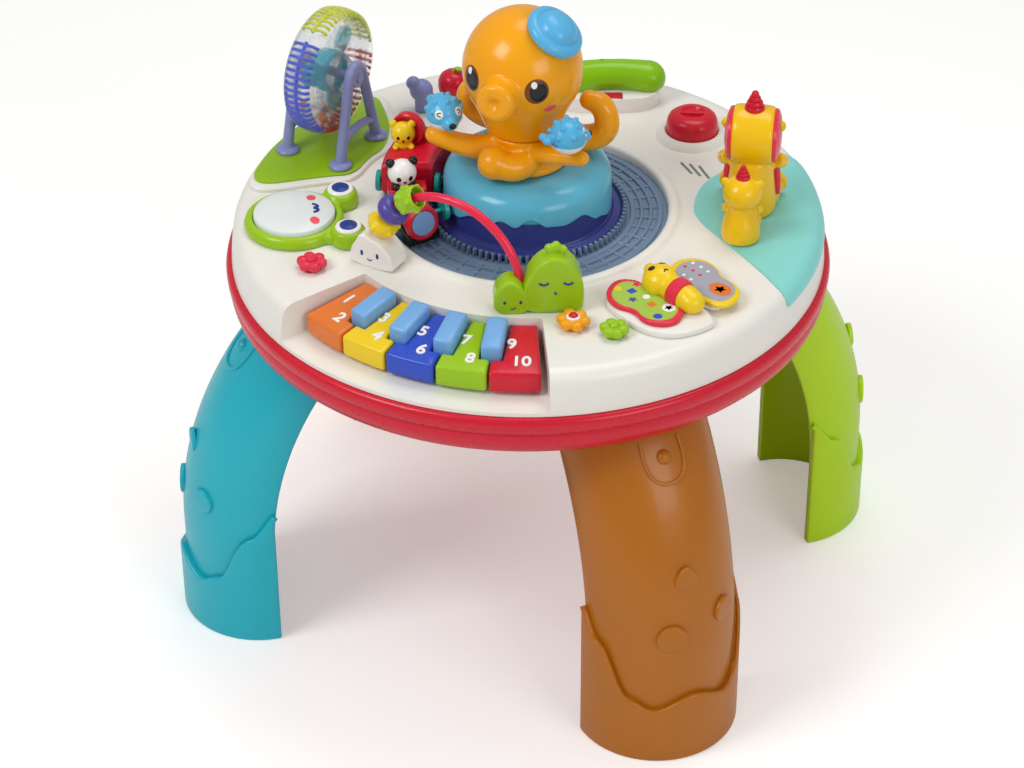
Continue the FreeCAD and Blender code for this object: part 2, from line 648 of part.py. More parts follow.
# ---- drum wheel: a clear drum with its axle, bands and paddles, on two A-frames ----
drum = place(body("drum_shell"), "drum_station", "drum_bearing", "drum_level")
turned(drum, "drum_outside", [
    ("-stand_offset - 4", "0"), ("-stand_offset - 4", "spindle_radius"), ("-16", "spindle_radius"),
    ("-16", "7"), ("-13.5", "11"), ("-drum_half", "12"), ("-drum_half", "drum_radius - 8"),
    ("3 - drum_half", "drum_radius - 2"), ("0", "drum_radius"), ("drum_half - 3", "drum_radius - 2"),
    ("drum_half", "drum_radius - 8"), ("drum_half", "12"), ("13.5", "11"), ("16", "7"),
    ("16", "spindle_radius"), ("stand_offset + 4", "spindle_radius"), ("stand_offset + 4", "0")],
    axis="H_Axis")
turned(drum, "drum_inside", [
    ("2 - drum_half", "13"), ("2 - drum_half", "drum_radius - 9"), ("4.4 - drum_half", "drum_radius - 4"),
    ("0", "drum_radius - 2"), ("drum_half - 4.4", "drum_radius - 4"), ("drum_half - 2", "drum_radius - 9"),
    ("drum_half - 2", "13")], axis="H_Axis", cut=True)
keep(drum)
bands = place(body("comb_bands"), "drum_station", "drum_bearing", "drum_level")
turned(bands, "comb_ring", [
    ("2.4 - drum_half", "drum_radius - 11"), ("4.9 - drum_half", "drum_radius - 4.9"),
    ("0", "drum_radius - 2.8"), ("drum_half - 4.9", "drum_radius - 4.9"),
    ("drum_half - 2.4", "drum_radius - 11"), ("drum_half - 3.6", "drum_radius - 11"),
    ("drum_half - 6.5", "drum_radius - 6.4"), ("0", "drum_radius - 4.4"),
    ("6.5 - drum_half", "drum_radius - 6.4"), ("3.6 - drum_half", "drum_radius - 11")], axis="H_Axis")
keep(bands)
blades = place(body("paddles"), "drum_station", "drum_bearing", "drum_level")
turned(blades, "paddle_hub", [("-6", "13.3"), ("6", "13.3"), ("6", "15"), ("-6", "15")], axis="H_Axis")
for number in range(3):
    angle = 90 + 120 * number

    def blade(made):
        corners = []
        for reach, half in ((14, -4), (22, -9), (31, -8), (33, 0), (31, 8), (22, 9), (14, 4)):
            a = math.radians(angle)
            corners.append(("%.3f" % (reach * math.cos(a) - half * math.sin(a)),
                            "%.3f" % (reach * math.sin(a) + half * math.cos(a))))
        outline(made, corners)

    padded(blades, "blade_%d" % number, blade, "3", role="YZ_Plane", start="0", middle=True)
keep(blades)
frames = []
for side in (-1, 1):
    frame = place(body("drum_frame_%s" % ("inner" if side < 0 else "outer")),
                  "drum_station + %d * stand_offset" % side, "drum_bearing", "panel_rise + 4.4")
    top = "drum_level - panel_rise - 4.4"
    padded(frame, "frame_plate", lambda made: outline(made, [
        ("-27.5", "0"), ("-19.5", "0"), ("-16.5", "16"), ("16.5", "16"), ("19.5", "0"), ("27.5", "0"),
        ("9.5", top + " + 2"), ("7", top + " + 7"), ("0", top + " + 9.5"), ("-7", top + " + 7"),
        ("-9.5", top + " + 2")]), "6.4", role="YZ_Plane", start="0", middle=True)
    padded(frame, "frame_window", lambda made: outline(made, [
        ("-15.3", "22"), ("15.3", "22"), ("5.5", top + " - 11"), ("-5.5", top + " - 11")]),
        "20", role="YZ_Plane", start="0", cut=True, middle=True)
    padded(frame, "frame_bore", lambda made: disc(made, "spindle_radius + 0.06", "0", top),
           "20", role="YZ_Plane", start="0", cut=True, middle=True)
    for number, offset in enumerate(("-23.5", "23.5")):
        padded(frame, "frame_foot_%d" % number, lambda made: disc(made, "7.6", "0", offset), "3")
    frames.append(frame)
stands = doc.addObject("Part::Compound", "drum_stands")
stands.Label = "drum_stands"
stands.Links = frames
keep(stands)

# ---- octopus: body with arms, head, cap and two fish ----
EYE = -90
octo = body("octopus_skirt")
turned(octo, "skirt_turn", [
    ("0", "dome_top + 0.3"), ("27", "dome_top + 0.3"), ("29", "dome_top + 2"), ("28", "dome_top + 5"),
    ("26", "dome_top + 6.5"), ("25.5", "neck_level - 5"), ("27", "neck_level"), ("0", "neck_level")])
pivot = doc.addObject("Part::Cylinder", "octopus_pivot")
pivot.Radius = 5.9
pivot.Height = 46
place(pivot, "0", "0", "dome_top - 45")
limbs = [octo, pivot]


def limb(name, points):
    """A rounded arm: balls joined by cones, from the body outwards."""
    made = None
    for (a, ra), (b, rb) in zip(points, points[1:]):
        first = Vector(*a)
        second = Vector(*b)
        run = second - first
        part = Part.makeCone(ra, rb, run.Length, first, run)
        part = part.fuse(Part.makeSphere(rb, second))
        made = part if made is None else made.fuse(part)
    thing = doc.addObject("Part::Feature", name)
    thing.Shape = made
    place(thing)
    limbs.append(thing)


reach = size("arm_reach")
for side in (-1, 1):
    limb("front_arm_%d" % (side + 1), [((side * 16, -12, 81), 10), ((side * 34, -24, 86.5), 8),
                                       ((side * reach, -31, 92), 6.5)])
    limb("rear_arm_%d" % (side + 1), [((side * 14, 14, 81), 10), ((side * 30, 26, 84), 9),
                                      ((side * 42, 30, 98), 7), ((side * 40, 28, 108), 6)])
limb("front_curl", [((0, -10, 82), 11), ((-2, -30, 80), 10), ((-1, -36, 86), 8)])
merged("octopus_body", limbs)

head = body("octopus_head")


def head_profile():
    lower = size("head_level") - size("neck_level")
    points = [("0", "neck_level")]
    for step in range(1, 12):
        angle = -66 + 156.0 * (step - 1) / 11
        points.append(("head_radius * %.4f" % math.cos(math.radians(angle)),
                       "head_level + head_height * %.4f" % math.sin(math.radians(angle))))
    points[1] = ("27", "neck_level")
    points.append(("0", "head_level + head_height"))
    return points


turned(head, "head_shell", head_profile())
keep(head)


def round_head(extra):
    """The head's own ellipsoid, for seating what sits on it."""
    ball_shape = Part.makeSphere(size("head_radius") + extra)
    grid = FreeCAD.Matrix()
    grid.scale(Vector(1, 1, (size("head_height") + extra) / (size("head_radius") + extra)))
    solid = ball_shape.transformGeometry(grid)
    solid.translate(Vector(0, 0, size("head_level")))
    return solid


def cap_shape():
    lean = Vector(23, -2, 32.6)
    lean.normalize()
    seat = Vector(0, 0, size("head_level")) + lean * (size("head_radius") - 5)
    solid = Part.makeCylinder(20, 9, seat, lean)
    solid = solid.fuse(Part.makeCone(14, 8, 7, seat + lean * 8.5, lean))
    return solid.cut(round_head(0.3))


shaped("octopus_cap", cap_shape())

for side, word in ((-1, "left"), (1, "right")):
    centre = Vector(side * (reach - 2), -34, 115.4)
    solid = Part.makeSphere(size("fish_radius"), centre)
    solid = solid.fuse(Part.makeCone(3, 5.5, 9, centre + Vector(side * 3, 10, 3), Vector(0.2 * side, 1, 0.2)))
    solid = solid.fuse(Part.makeSphere(5, centre + Vector(-side * 2, -10.5, -2)))
    solid = solid.fuse(Part.makeCylinder(5, 14, centre + Vector(0, 0.5, -20), Vector(0, 0, 1)))
    arm = Part.makeSphere(6.8, Vector(side * reach, -31, 92))
    arm = arm.fuse(Part.makeCone(8.3, 6.8, (Vector(reach, -31, 92) - Vector(34, -24, 86.5)).Length,
                                 Vector(side * 34, -24, 86.5), Vector(side * (reach - 34), -7, 5.5)))
    shaped("fish_" + word, solid.cut(arm))

# ---- train: base with its keel, two cars, two figures, two wheel sets and the pinion ----
base = body("train_base")
turned(base, "base_front", [
    ("train_radius - 12.5", "33.6"), ("train_radius + 12.5", "33.6"), ("train_radius + 12.5", "39"),
    ("train_radius - 12.5", "39")], sweep="46", bearing="-147")
turned(base, "base_rear", [
    ("train_radius - 11.5", "34"), ("train_radius + 11.5", "34"), ("train_radius + 11.5", "39"),
    ("train_radius - 11.5", "39")], sweep="40", bearing="170")
turned(base, "keel_front", [
    ("train_radius - 2.6", "track_floor + 1.2"), ("train_radius + 0.8", "track_floor + 1.2"),
    ("train_radius + 0.8", "35"), ("train_radius - 2.6", "35")], sweep="10", bearing="-130")
turned(base, "keel_rear", [
    ("train_radius - 2.6", "track_floor + 1.2"), ("train_radius + 0.8", "track_floor + 1.2"),
    ("train_radius + 0.8", "35"), ("train_radius - 2.6", "35")], sweep="14", bearing="178")
keep(base)

def ring_block(name, low, high, inner, outer, sweep, bearing):
    """A curved block of the train, as a solid."""
    half = math.radians(sweep / 2.0)
    middle = math.radians(bearing)
    rings = []
    for radius in (inner, outer):
        rings.append([Vector(radius * math.cos(middle + a), radius * math.sin(middle + a), low)
                      for a in (-half, 0, half)])
    wire = Part.Wire([Part.Arc(*rings[1]).toShape(), Part.makeLine(rings[1][2], rings[0][2]),
                      Part.Arc(*rings[0]).toShape(), Part.makeLine(rings[0][0], rings[1][0])])
    return Part.Face(wire).extrude(Vector(0, 0, high - low))


def on_track(radius, bearing, level):
    angle = math.radians(bearing)
    return Vector(radius * math.cos(angle), radius * math.sin(angle), level)


TRACK = size("train_radius")
AXLES = (-131, -162, 166)
BOILER = 45.5
boiler = Part.makeCylinder(11.5, 24, on_track(TRACK + 1, -124, BOILER), on_track(TRACK, -146, BOILER)
                           - on_track(TRACK + 1, -124, BOILER))
cab = ring_block("cab", 39, 54, TRACK - 14, TRACK + 14, 12, -149)
saddle = ring_block("saddle", 39, 46, TRACK - 13, TRACK + 13, 26, -139)
loco = boiler.fuse([cab, saddle])
loco = loco.common(Part.makeBox(400, 400, 400, Vector(-200, -200, 39)))
half_width = size("wagon_half")
wagon = ring_block("wagon", 39, 63, TRACK - half_width, TRACK + half_width, 34, -175)
drawbar = ring_block("drawbar", 39, 43, TRACK - 4, TRACK + 4, 8, -156)
hood = Part.makeCylinder(12, 6, on_track(TRACK + 5, 180, 72), on_track(TRACK + 5, 190, 72)
                         - on_track(TRACK + 5, 180, 72))
hood = hood.fuse(ring_block("hood", 62, 72, TRACK - 7, TRACK + 17, 3.8, 182.2))
bores = []
for bearing in AXLES:
    start = on_track(TRACK - 30, bearing, size("wheel_level"))
    bores.append(Part.makeCylinder(1.56, 60, start, on_track(TRACK, bearing, size("wheel_level")) - start))
shaped("train_cars", loco.fuse([wagon, hood, drawbar]).cut(bores))
panda = Part.makeSphere(10, on_track(TRACK + 3, -151.5, 62))
panda = panda.fuse(Part.makeCone(9, 7, 6, on_track(TRACK + 2, -151, 54)))
panda = panda.cut(boiler)
for side in (-1, 1):
    panda = panda.fuse(Part.makeSphere(3.2, on_track(TRACK + 3 + side * 8, -153.5, 69.5)))
shaped("panda_figure", panda.cut([wagon, cab]))
lion = Part.makeSphere(9, on_track(TRACK + 7, -173.5, 71.5))
lion = lion.fuse(Part.makeCone(8, 6, 8, on_track(TRACK + 7, -173.5, 63)))
for side in (-1, 1):
    lion = lion.fuse(Part.makeSphere(2.6, on_track(TRACK + 7 + side * 7, -174.5, 78)))
shaped("lion_figure", lion.cut([hood, wagon]))

for word, bearing in zip(("front", "middle", "rear"), AXLES):
    wheels = place(body("wheel_set_" + word), "train_radius", str(bearing), "wheel_level")
    turned(wheels, "wheel_pair", [
        ("-axle_half - wheel_width", "0"), ("-axle_half - wheel_width", "wheel_radius - 0.8"),
        ("0.8 - axle_half - wheel_width", "wheel_radius"), ("-axle_half - 0.8", "wheel_radius"),
        ("-axle_half", "wheel_radius - 0.8"), ("-axle_half", "1.5"),
        ("axle_half", "1.5"), ("axle_half", "wheel_radius - 0.8"), ("axle_half + 0.8", "wheel_radius"),
        ("axle_half + wheel_width - 0.8", "wheel_radius"),
        ("axle_half + wheel_width", "wheel_radius - 0.8"), ("axle_half + wheel_width", "0")], axis="H_Axis")
    keep(wheels)

PINION_AT = 75.15
pinion = gear(int(size("pinion_teeth")), size("gear_module"), 29.6, 32.8, 0)
pinion = pinion.fuse(Part.makeCylinder(2, 6, Vector(0, 0, 32.5)))
pinion_piece = shaped("pinion", pinion)
place(pinion_piece, str(PINION_AT), "-148", "0", yaw="-148 + 198")
padded(base, "pinion_bore", lambda made: disc(
    made, "2.06", "%s * cos(-148)" % PINION_AT, "%s * sin(-148)" % PINION_AT),
    "9", start="38.7", cut=True)

# ---- knob, phone and rear fruits ----
knob = place(body("knob"), "knob_station", "knob_bearing", "0")
turned(knob, "knob_dome", [
    ("0", "panel_rise + 1.2"), ("knob_radius", "panel_rise + 1.2"), ("knob_radius", "panel_rise + 10"),
    ("knob_radius - 2", "panel_rise + 14.5"), ("knob_radius - 6", "panel_rise + 17.6"),
    ("knob_radius - 11", "panel_rise + knob_rise"), ("0", "panel_rise + knob_rise")])
keep(knob)


def handset_shape():
    length = size("handset_length")
    radius = size("handset_radius")
    solid = Part.makeCylinder(radius, length - 2 * radius, Vector(radius - length / 2, 0, 0),
                              Vector(1, 0, 0))
    for side in (-1, 1):
        solid = solid.fuse(Part.makeSphere(radius, Vector(side * (length / 2 - radius), 0, 0)))
    solid = solid.common(Part.makeBox(200, 200, 200, Vector(-100, -100, -7)))
    return solid


handset = shaped("handset", handset_shape())
place(handset, "0", "0", "panel_rise + 19.3", yaw="phone_yaw")
handset.setExpression("Placement.Base.x", "-4")
handset.setExpression("Placement.Base.y", "160")
phone_key = place(body("phone_key"), "145.2", "90.06", "0", yaw="phone_yaw")
padded(phone_key, "key_cap", lambda made: outline(made, [
    ("-8.5", "-4"), ("8.5", "-4"), ("8.5", "4"), ("-8.5", "4")]), "1.4", start="panel_rise + 10.8")
keep(phone_key)

for name, station, bearing, radius, level in (("grape_knob", 152.5, 144.5, 10, 46),
                                              ("apple_knob", 151.5, 135.2, 11, 46)):
    fruit = place(body(name), str(station), str(bearing), "0")
    corners = [("0", "panel_rise + 0.3"), ("5.5", "panel_rise + 0.3"), ("5", "%s" % (level - radius + 1))]
    for step in range(1, 7):
        angle = math.radians(-70 + 160.0 * step / 6)
        corners.append(("%.3f" % max(0.0, radius * math.cos(angle)) if step < 6 else "0",
                        "%.3f" % (level + radius * math.sin(angle))))
    turned(fruit, name + "_profile", corners)
    keep(fruit)


# ---- parent and baby animals on the rear deck ----
def animal(scale, stretch, station, bearing, face):
    """A sitting animal: foot ring, egg-shaped body, head with snout, swirl, ears and feet."""
    spot = on_track(station, bearing, size("panel_rise"))
    look = Vector(math.cos(math.radians(face)), math.sin(math.radians(face)), 0)
    aside = Vector(-look.y, look.x, 0)

    def at(forward, across, up):
        return spot + look * (forward * scale) + aside * (across * scale) + Vector(0, 0, up * stretch)

    solid = Part.makeCone(19 * scale, 14 * scale, 36 * stretch, spot)
    solid = solid.fuse(Part.makeSphere(20.5 * scale, at(0, 0, 50)))
    solid = solid.fuse(Part.makeSphere(10 * scale, at(16, 0, 44)))
    for side in (-1, 1):
        solid = solid.fuse(Part.makeSphere(4.6 * scale, at(-1, side * 18.5, 60)))
        solid = solid.fuse(Part.makeCylinder(6.5 * scale, 10 * scale, at(11, side * 10, 4), look))
        solid = solid.fuse(Part.makeCone(6 * scale, 4 * scale, 14 * scale, at(4, side * 12, 26),
                                         look + aside * (side * 0.6) + Vector(0, 0, -0.5)))
    solid = solid.fuse(Part.makeCone(5.5 * scale, 2.5 * scale, 12 * scale, at(0, 0, 66)))
    block = Part.makeBox(400, 400, 400, Vector(-200, -200, size("panel_rise") - 400))
    return solid.cut(block)


shaped("parent_animal", animal(1.0, 1.16, 152.5, 23.2, 106))
shaped("baby_animal", animal(0.66, 0.68, 149.5, 8.2, 106))
for name in ("parent_animal", "baby_animal"):
    bind(doc.getObject(name), "Placement.Base.z", "deck_height + 1.6")

# ---- inside: speaker with its circuit board, and the battery door ----
speaker = place(body("speaker_can"), "127", "47.8", "0")
turned(speaker, "speaker_can", [
    ("0", "7"), ("9", "7"), ("9", "13"), ("22", "22"), ("22", "panel_rise - wall"),
    ("0", "panel_rise - wall")])
board = place(body("circuit_board"), "0", "0", "wall - tray_depth")
padded(board, "board_plate", lambda made: outline(made, [
    ("-110", "50"), ("-20", "50"), ("-20", "110"), ("-110", "110")]), "1.6", start="4")
for number, (x, y) in enumerate(((-104, 56), (-26, 56), (-104, 104), (-26, 104))):
    padded(board, "board_post_%d" % number, lambda made: disc(made, "3", str(x), str(y)), "4.2")
for number, (x, y, reach) in enumerate(((-88, 78, 8), (-55, 84, 6), (-40, 68, 5))):
    padded(board, "board_chip_%d" % number, lambda made: outline(made, [
        (str(x - reach), str(y - reach)), (str(x + reach), str(y - reach)),
        (str(x + reach), str(y + reach)), (str(x - reach), str(y + reach))]), "2.4", start="5.4")
merged("sound_unit", [speaker, board])
door = place(body("battery_door"), "0", "0", "-tray_depth")
padded(door, "door_plate", lambda made: outline(made, [
    ("-44.7", "-29.7"), ("44.7", "-29.7"), ("44.7", "29.7"), ("-44.7", "29.7")]), "wall")
for number in range(4):
    padded(door, "door_groove_%d" % number, lambda made: outline(made, [
        (str(-30 + 16 * number), "-18"), (str(-27 + 16 * number), "-18"),
        (str(-27 + 16 * number), "18"), (str(-30 + 16 * number), "18")]), "0.8", start="0.8", cut=True)
keep(door)

# ---- check and write ----
doc.recompute()
for thing in doc.Objects:
    if "Invalid" in thing.State or "Error" in thing.State:
        raise RuntimeError("%s: %s" % (thing.Name, thing.State))
for piece in PIECES:
    if piece.Shape.isNull() or not piece.Shape.isValid():
        raise RuntimeError("%s has no valid shape" % piece.Label)
os.makedirs("parts", exist_ok=True)
for piece in PIECES:
    piece.Shape.exportStep("parts/%s.step" % piece.Label)
print("%d sub-parts written" % len(PIECES))
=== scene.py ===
import math

import bmesh
import bpy
from mathutils import Matrix, Vector
from mathutils.bvhtree import BVHTree


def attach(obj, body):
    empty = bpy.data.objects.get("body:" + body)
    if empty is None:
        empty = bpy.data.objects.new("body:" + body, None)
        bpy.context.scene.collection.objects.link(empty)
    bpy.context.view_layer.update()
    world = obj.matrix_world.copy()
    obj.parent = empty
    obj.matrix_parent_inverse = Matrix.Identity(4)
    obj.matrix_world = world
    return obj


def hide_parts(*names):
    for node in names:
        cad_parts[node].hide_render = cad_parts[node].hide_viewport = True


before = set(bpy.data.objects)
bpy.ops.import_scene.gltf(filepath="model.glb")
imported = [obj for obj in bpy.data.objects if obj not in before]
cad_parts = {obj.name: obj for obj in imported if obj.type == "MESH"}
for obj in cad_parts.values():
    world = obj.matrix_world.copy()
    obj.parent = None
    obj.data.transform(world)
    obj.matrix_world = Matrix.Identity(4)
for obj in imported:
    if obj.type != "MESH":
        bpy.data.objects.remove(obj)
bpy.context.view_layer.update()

# A toddler's activity table. Helpers work in millimetres with heights measured from the deck, the plane
# where the red tray meets the white top; every finished mesh is written in metres in the part's frame.
DECK = 265.0
TO_METRES = Matrix.Scale(0.001, 4) @ Matrix.Translation((0, 0, DECK))


def polar(station, bearing, level=0.0):
    """A point over the deck from its distance and bearing."""
    angle = math.radians(bearing)
    return Vector((station * math.cos(angle), station * math.sin(angle), level))


def seat(spot, yaw=0.0):
    """Stand a shape at a point, turned about the vertical."""
    return Matrix.Translation(spot) @ Matrix.Rotation(math.radians(yaw), 4, "Z")


def facing(spot, direction, roll=0.0):
    """Put a shape's Z along a direction at a point."""
    turn = Vector(direction).normalized().to_track_quat("Z", "Y").to_matrix().to_4x4()
    return Matrix.Translation(spot) @ turn @ Matrix.Rotation(math.radians(roll), 4, "Z")


# ---- materials ----
def linear(code):
    """An sRGB hex colour as linear light."""
    parts = [int(code[i:i + 2], 16) / 255 for i in (1, 3, 5)]
    return [p / 12.92 if p <= 0.04045 else ((p + 0.055) / 1.055) ** 2.4 for p in parts] + [1.0]


def node(tree, kind, settings=(), links=()):
    """Add one node, set its sockets or properties, and link sockets into it."""
    made = tree.nodes.new(kind)
    for name, value in dict(settings).items():
        if name in made.inputs:
            made.inputs[name].default_value = value
        else:
            setattr(made, name, value)
    for name, source in dict(links).items():
        tree.links.new(source, made.inputs[name])
    return made


def moulded(name, code, roughness=0.28, grain=0.6, coat=0.25):
    """Injection-moulded ABS: an even colour with slow drift from the melt, a gloss that varies a little
    from polishing marks, and a faint surface ripple two millimetres across."""
    made = bpy.data.materials.new(name)
    made.use_nodes = True
    tree = made.node_tree
    shader = tree.nodes["Principled BSDF"]
    where = node(tree, "ShaderNodeTexCoord").outputs["Object"]
    drift = node(tree, "ShaderNodeTexNoise", {"Scale": 22.0, "Detail": 2.0}, {"Vector": where})
    shade = [c * 0.9 for c in linear(code)[:3]] + [1.0]
    tone = node(tree, "ShaderNodeMix", {"data_type": "RGBA"})
    tone.inputs[6].default_value = linear(code)
    tone.inputs[7].default_value = shade
    ease = node(tree, "ShaderNodeMapRange", {"From Min": 0.35, "From Max": 0.8, "To Max": 0.35},
                {"Value": drift.outputs["Fac"]})
    tree.links.new(ease.outputs["Result"], tone.inputs[0])
    tree.links.new(tone.outputs[2], shader.inputs["Base Color"])
    polish = node(tree, "ShaderNodeTexNoise", {"Scale": 140.0, "Detail": 3.0}, {"Vector": where})
    gloss = node(tree, "ShaderNodeMapRange", {"To Min": roughness - 0.04, "To Max": roughness + 0.05},
                 {"Value": polish.outputs["Fac"]})
    tree.links.new(gloss.outputs["Result"], shader.inputs["Roughness"])
    ripple = node(tree, "ShaderNodeTexNoise", {"Scale": 420.0, "Detail": 0.0}, {"Vector": where})
    bump = node(tree, "ShaderNodeBump", {"Strength": 0.012 * grain, "Distance": 0.0003},
                {"Height": ripple.outputs["Fac"]})
    tree.links.new(bump.outputs["Normal"], shader.inputs["Normal"])
    shader.inputs["IOR"].default_value = 1.5
    shader.inputs["Specular IOR Level"].default_value = 0.32
    shader.inputs["Coat Weight"].default_value = coat * 0.6
    shader.inputs["Coat Roughness"].default_value = 0.12
    return made


def clear(name):
    """Clear polystyrene: see-through with a faint grey tint, so edges read darker than faces."""
    made = bpy.data.materials.new(name)
    made.use_nodes = True
    tree = made.node_tree
    shader = tree.nodes["Principled BSDF"]
    where = node(tree, "ShaderNodeTexCoord").outputs["Object"]
    flow = node(tree, "ShaderNodeTexNoise", {"Scale": 60.0}, {"Vector": where})
    gloss = node(tree, "ShaderNodeMapRange", {"To Min": 0.03, "To Max": 0.09},
                 {"Value": flow.outputs["Fac"]})
    tree.links.new(gloss.outputs["Result"], shader.inputs["Roughness"])
    shader.inputs["Base Color"].default_value = linear("#EEF0F0")
    shader.inputs["Transmission Weight"].default_value = 0.92
    shader.inputs["IOR"].default_value = 1.12
    shader.inputs["Alpha"].default_value = 0.55
    return made


FINISH = {
    "red": moulded("gloss_abs_red", "#D4152F"),
    "ivory": moulded("gloss_abs_ivory", "#EFECE4", 0.3),
    "post_white": moulded("gloss_abs_white", "#F0EEE6", 0.3),
    "leaf": moulded("satin_abs_leaf_green", "#93BE0E", 0.36),
    "leaf_teal": moulded("satin_abs_leaf_teal", "#8ADAD4", 0.36),
    "slate": moulded("satin_abs_slate_blue", "#7288A3", 0.38),
    "navy": moulded("gloss_abs_navy", "#323A86", 0.25),
    "sky": moulded("gloss_abs_sky_blue", "#5DB5D4", 0.2),
    "lavender": moulded("satin_abs_lavender", "#8A91C4", 0.34),
    "lime": moulded("gloss_abs_lime", "#9CC714", 0.25),
    "rod": moulded("gloss_abs_rod_red", "#E8284A", 0.22),
    "yellow": moulded("gloss_abs_yellow", "#F4D01B", 0.25),
    "amber": moulded("gloss_abs_amber", "#F7A60B", 0.22),
    "teal": moulded("gloss_abs_teal", "#259C97", 0.26),
    "brown": moulded("satin_abs_brown", "#8A5A3C", 0.36),
    "orange": moulded("gloss_abs_orange", "#E5782B", 0.28),
    "purple": moulded("gloss_abs_purple", "#53479C", 0.28),
    "blue": moulded("gloss_abs_blue", "#2E4FC4", 0.28),
    "sharp": moulded("gloss_abs_light_blue", "#78AEE4", 0.28),
    "comb_blue": moulded("gloss_abs_comb_blue", "#4358D8", 0.28),
    "comb_lime": moulded("gloss_abs_comb_lime", "#D6DC28", 0.28),
    "blade": moulded("gloss_abs_blade_blue", "#45B4CE", 0.24),
    "black": moulded("gloss_abs_black", "#171719", 0.25),
    "white": moulded("gloss_abs_bright_white", "#F5F4EF", 0.25),
    "pink": moulded("printed_ink_pink", "#EF5A5F", 0.4),
    "cap": moulded("gloss_abs_cap_blue", "#5AB4E3", 0.25),
    "fish": moulded("gloss_abs_fish_blue", "#55B2E0", 0.22),
    "lamp": moulded("gloss_abs_lamp_blue", "#7FA3D6", 0.2),
    "leg_orange": moulded("gloss_abs_leg_orange", "#F0962A", 0.3),
    "board": moulded("solder_mask_green", "#2E6B3A", 0.4),
    "ink": moulded("printed_ink_brown", "#3B2418", 0.35),
    "cream": moulded("printed_ink_cream", "#F6EFD9", 0.4),
    "clear": clear("clear_polystyrene"),
    "leg_teal": moulded("satin_abs_leg_teal", "#1FB4C6", 0.32),
    "leg_brown": moulded("satin_abs_leg_caramel", "#B46A10", 0.32),
    "leg_green": moulded("satin_abs_leg_lime", "#B4DC0A", 0.32),
    "iris": moulded("printed_ink_iris_brown", "#7A3E16", 0.3),
    "print_navy": moulded("printed_ink_navy", "#1F3C8C", 0.35),
    "pad": moulded("satin_abs_frog_pad", "#E3E9E6", 0.36),
    "coral": moulded("gloss_abs_coral_red", "#E42E48", 0.26),
    "page_green": moulded("printed_page_green", "#A6C84A", 0.4),
    "page_grey": moulded("printed_page_grey", "#A9A9B4", 0.4),
    "phone": moulded("gloss_abs_phone_green", "#86C000", 0.22),
    "honey": moulded("gloss_abs_honey_yellow", "#F5C40C", 0.24),
}


# ---- shapes ----
def settle(mesh):
    bmesh.ops.remove_doubles(mesh, verts=mesh.verts, dist=0.002)
    bmesh.ops.recalc_face_normals(mesh, faces=mesh.faces)
    return mesh


def lathe(profile, steps=96, sweep=360.0, matrix=None):
    """Spin an (x, z) profile about Z."""
    mesh = bmesh.new()
    verts = [mesh.verts.new((x, 0, z)) for x, z in profile]
    edges = [mesh.edges.new(pair) for pair in zip(verts, verts[1:])]
    full = sweep == 360.0
    bmesh.ops.spin(mesh, geom=verts + edges, axis=(0, 0, 1), cent=(0, 0, 0),
                   angle=math.radians(sweep), steps=steps, use_merge=full)
    settle(mesh)
    if matrix is not None:
        mesh.transform(matrix)
    return mesh


def ball(radius, matrix=None, stretch=(1, 1, 1), fine=32):
    mesh = bmesh.new()
    bmesh.ops.create_uvsphere(mesh, u_segments=fine, v_segments=fine // 2, radius=radius)
    bmesh.ops.scale(mesh, vec=stretch, verts=mesh.verts)
    if matrix is not None:
        mesh.transform(matrix)
    return mesh


def slab(points, low, high, bevel=0.0, steps=3, matrix=None):
    """A flat outline given a thickness, with its edges rounded."""
    mesh = bmesh.new()
    face = mesh.faces.new([mesh.verts.new((x, y, low)) for x, y in points])
    if face.normal.z < 0 or face.calc_area() and face.normal.z <= 0:
        face.normal_flip()
    grown = bmesh.ops.extrude_face_region(mesh, geom=[face])
    bmesh.ops.translate(mesh, vec=(0, 0, high - low),
                        verts=[v for v in grown["geom"] if isinstance(v, bmesh.types.BMVert)])
    if not any(f is face for f in mesh.faces):
        mesh.faces.new([v for v in mesh.verts if abs(v.co.z - low) < 1e-6])
    settle(mesh)
    if bevel > 0:
        bmesh.ops.bevel(mesh, geom=list(mesh.edges), offset=bevel, offset_type="OFFSET", segments=steps,
                        profile=0.5, affect="EDGES", clamp_overlap=True, material=-1)
        settle(mesh)
    if matrix is not None:
        mesh.transform(matrix)
    return mesh


def tube(points, radius, fat=None, matrix=None, fine=10, closed=False):
    """A round moulding along a smooth line through points."""
    curve = bpy.data.curves.new("line", "CURVE")
    curve.dimensions = "3D"
    curve.bevel_depth = radius
    curve.bevel_resolution = fine // 2
    curve.use_fill_caps = True
    curve.resolution_u = 8
    spline = curve.splines.new("BEZIER")
    spline.bezier_points.add(len(points) - 1)
    for number, (knot, spot) in enumerate(zip(spline.bezier_points, points)):
        knot.co = spot
        knot.handle_left_type = "AUTO"
        knot.handle_right_type = "AUTO"
        knot.radius = fat[number] if fat else 1.0
    spline.use_cyclic_u = closed
    holder = bpy.data.objects.new("line", curve)
    made = bpy.data.meshes.new_from_object(holder)
    mesh = bmesh.new()
    mesh.from_mesh(made)
    bpy.data.objects.remove(holder)
    bpy.data.curves.remove(curve)
    bpy.data.meshes.remove(made)
    settle(mesh)
    if matrix is not None:
        mesh.transform(matrix)
    return mesh


def gather(*meshes):
    """Join shapes into one bmesh."""
    whole = bmesh.new()
    for mesh in meshes:
        spare = bpy.data.meshes.new("spare")
        mesh.to_mesh(spare)
        whole.from_mesh(spare)
        bpy.data.meshes.remove(spare)
        mesh.free()
    return whole


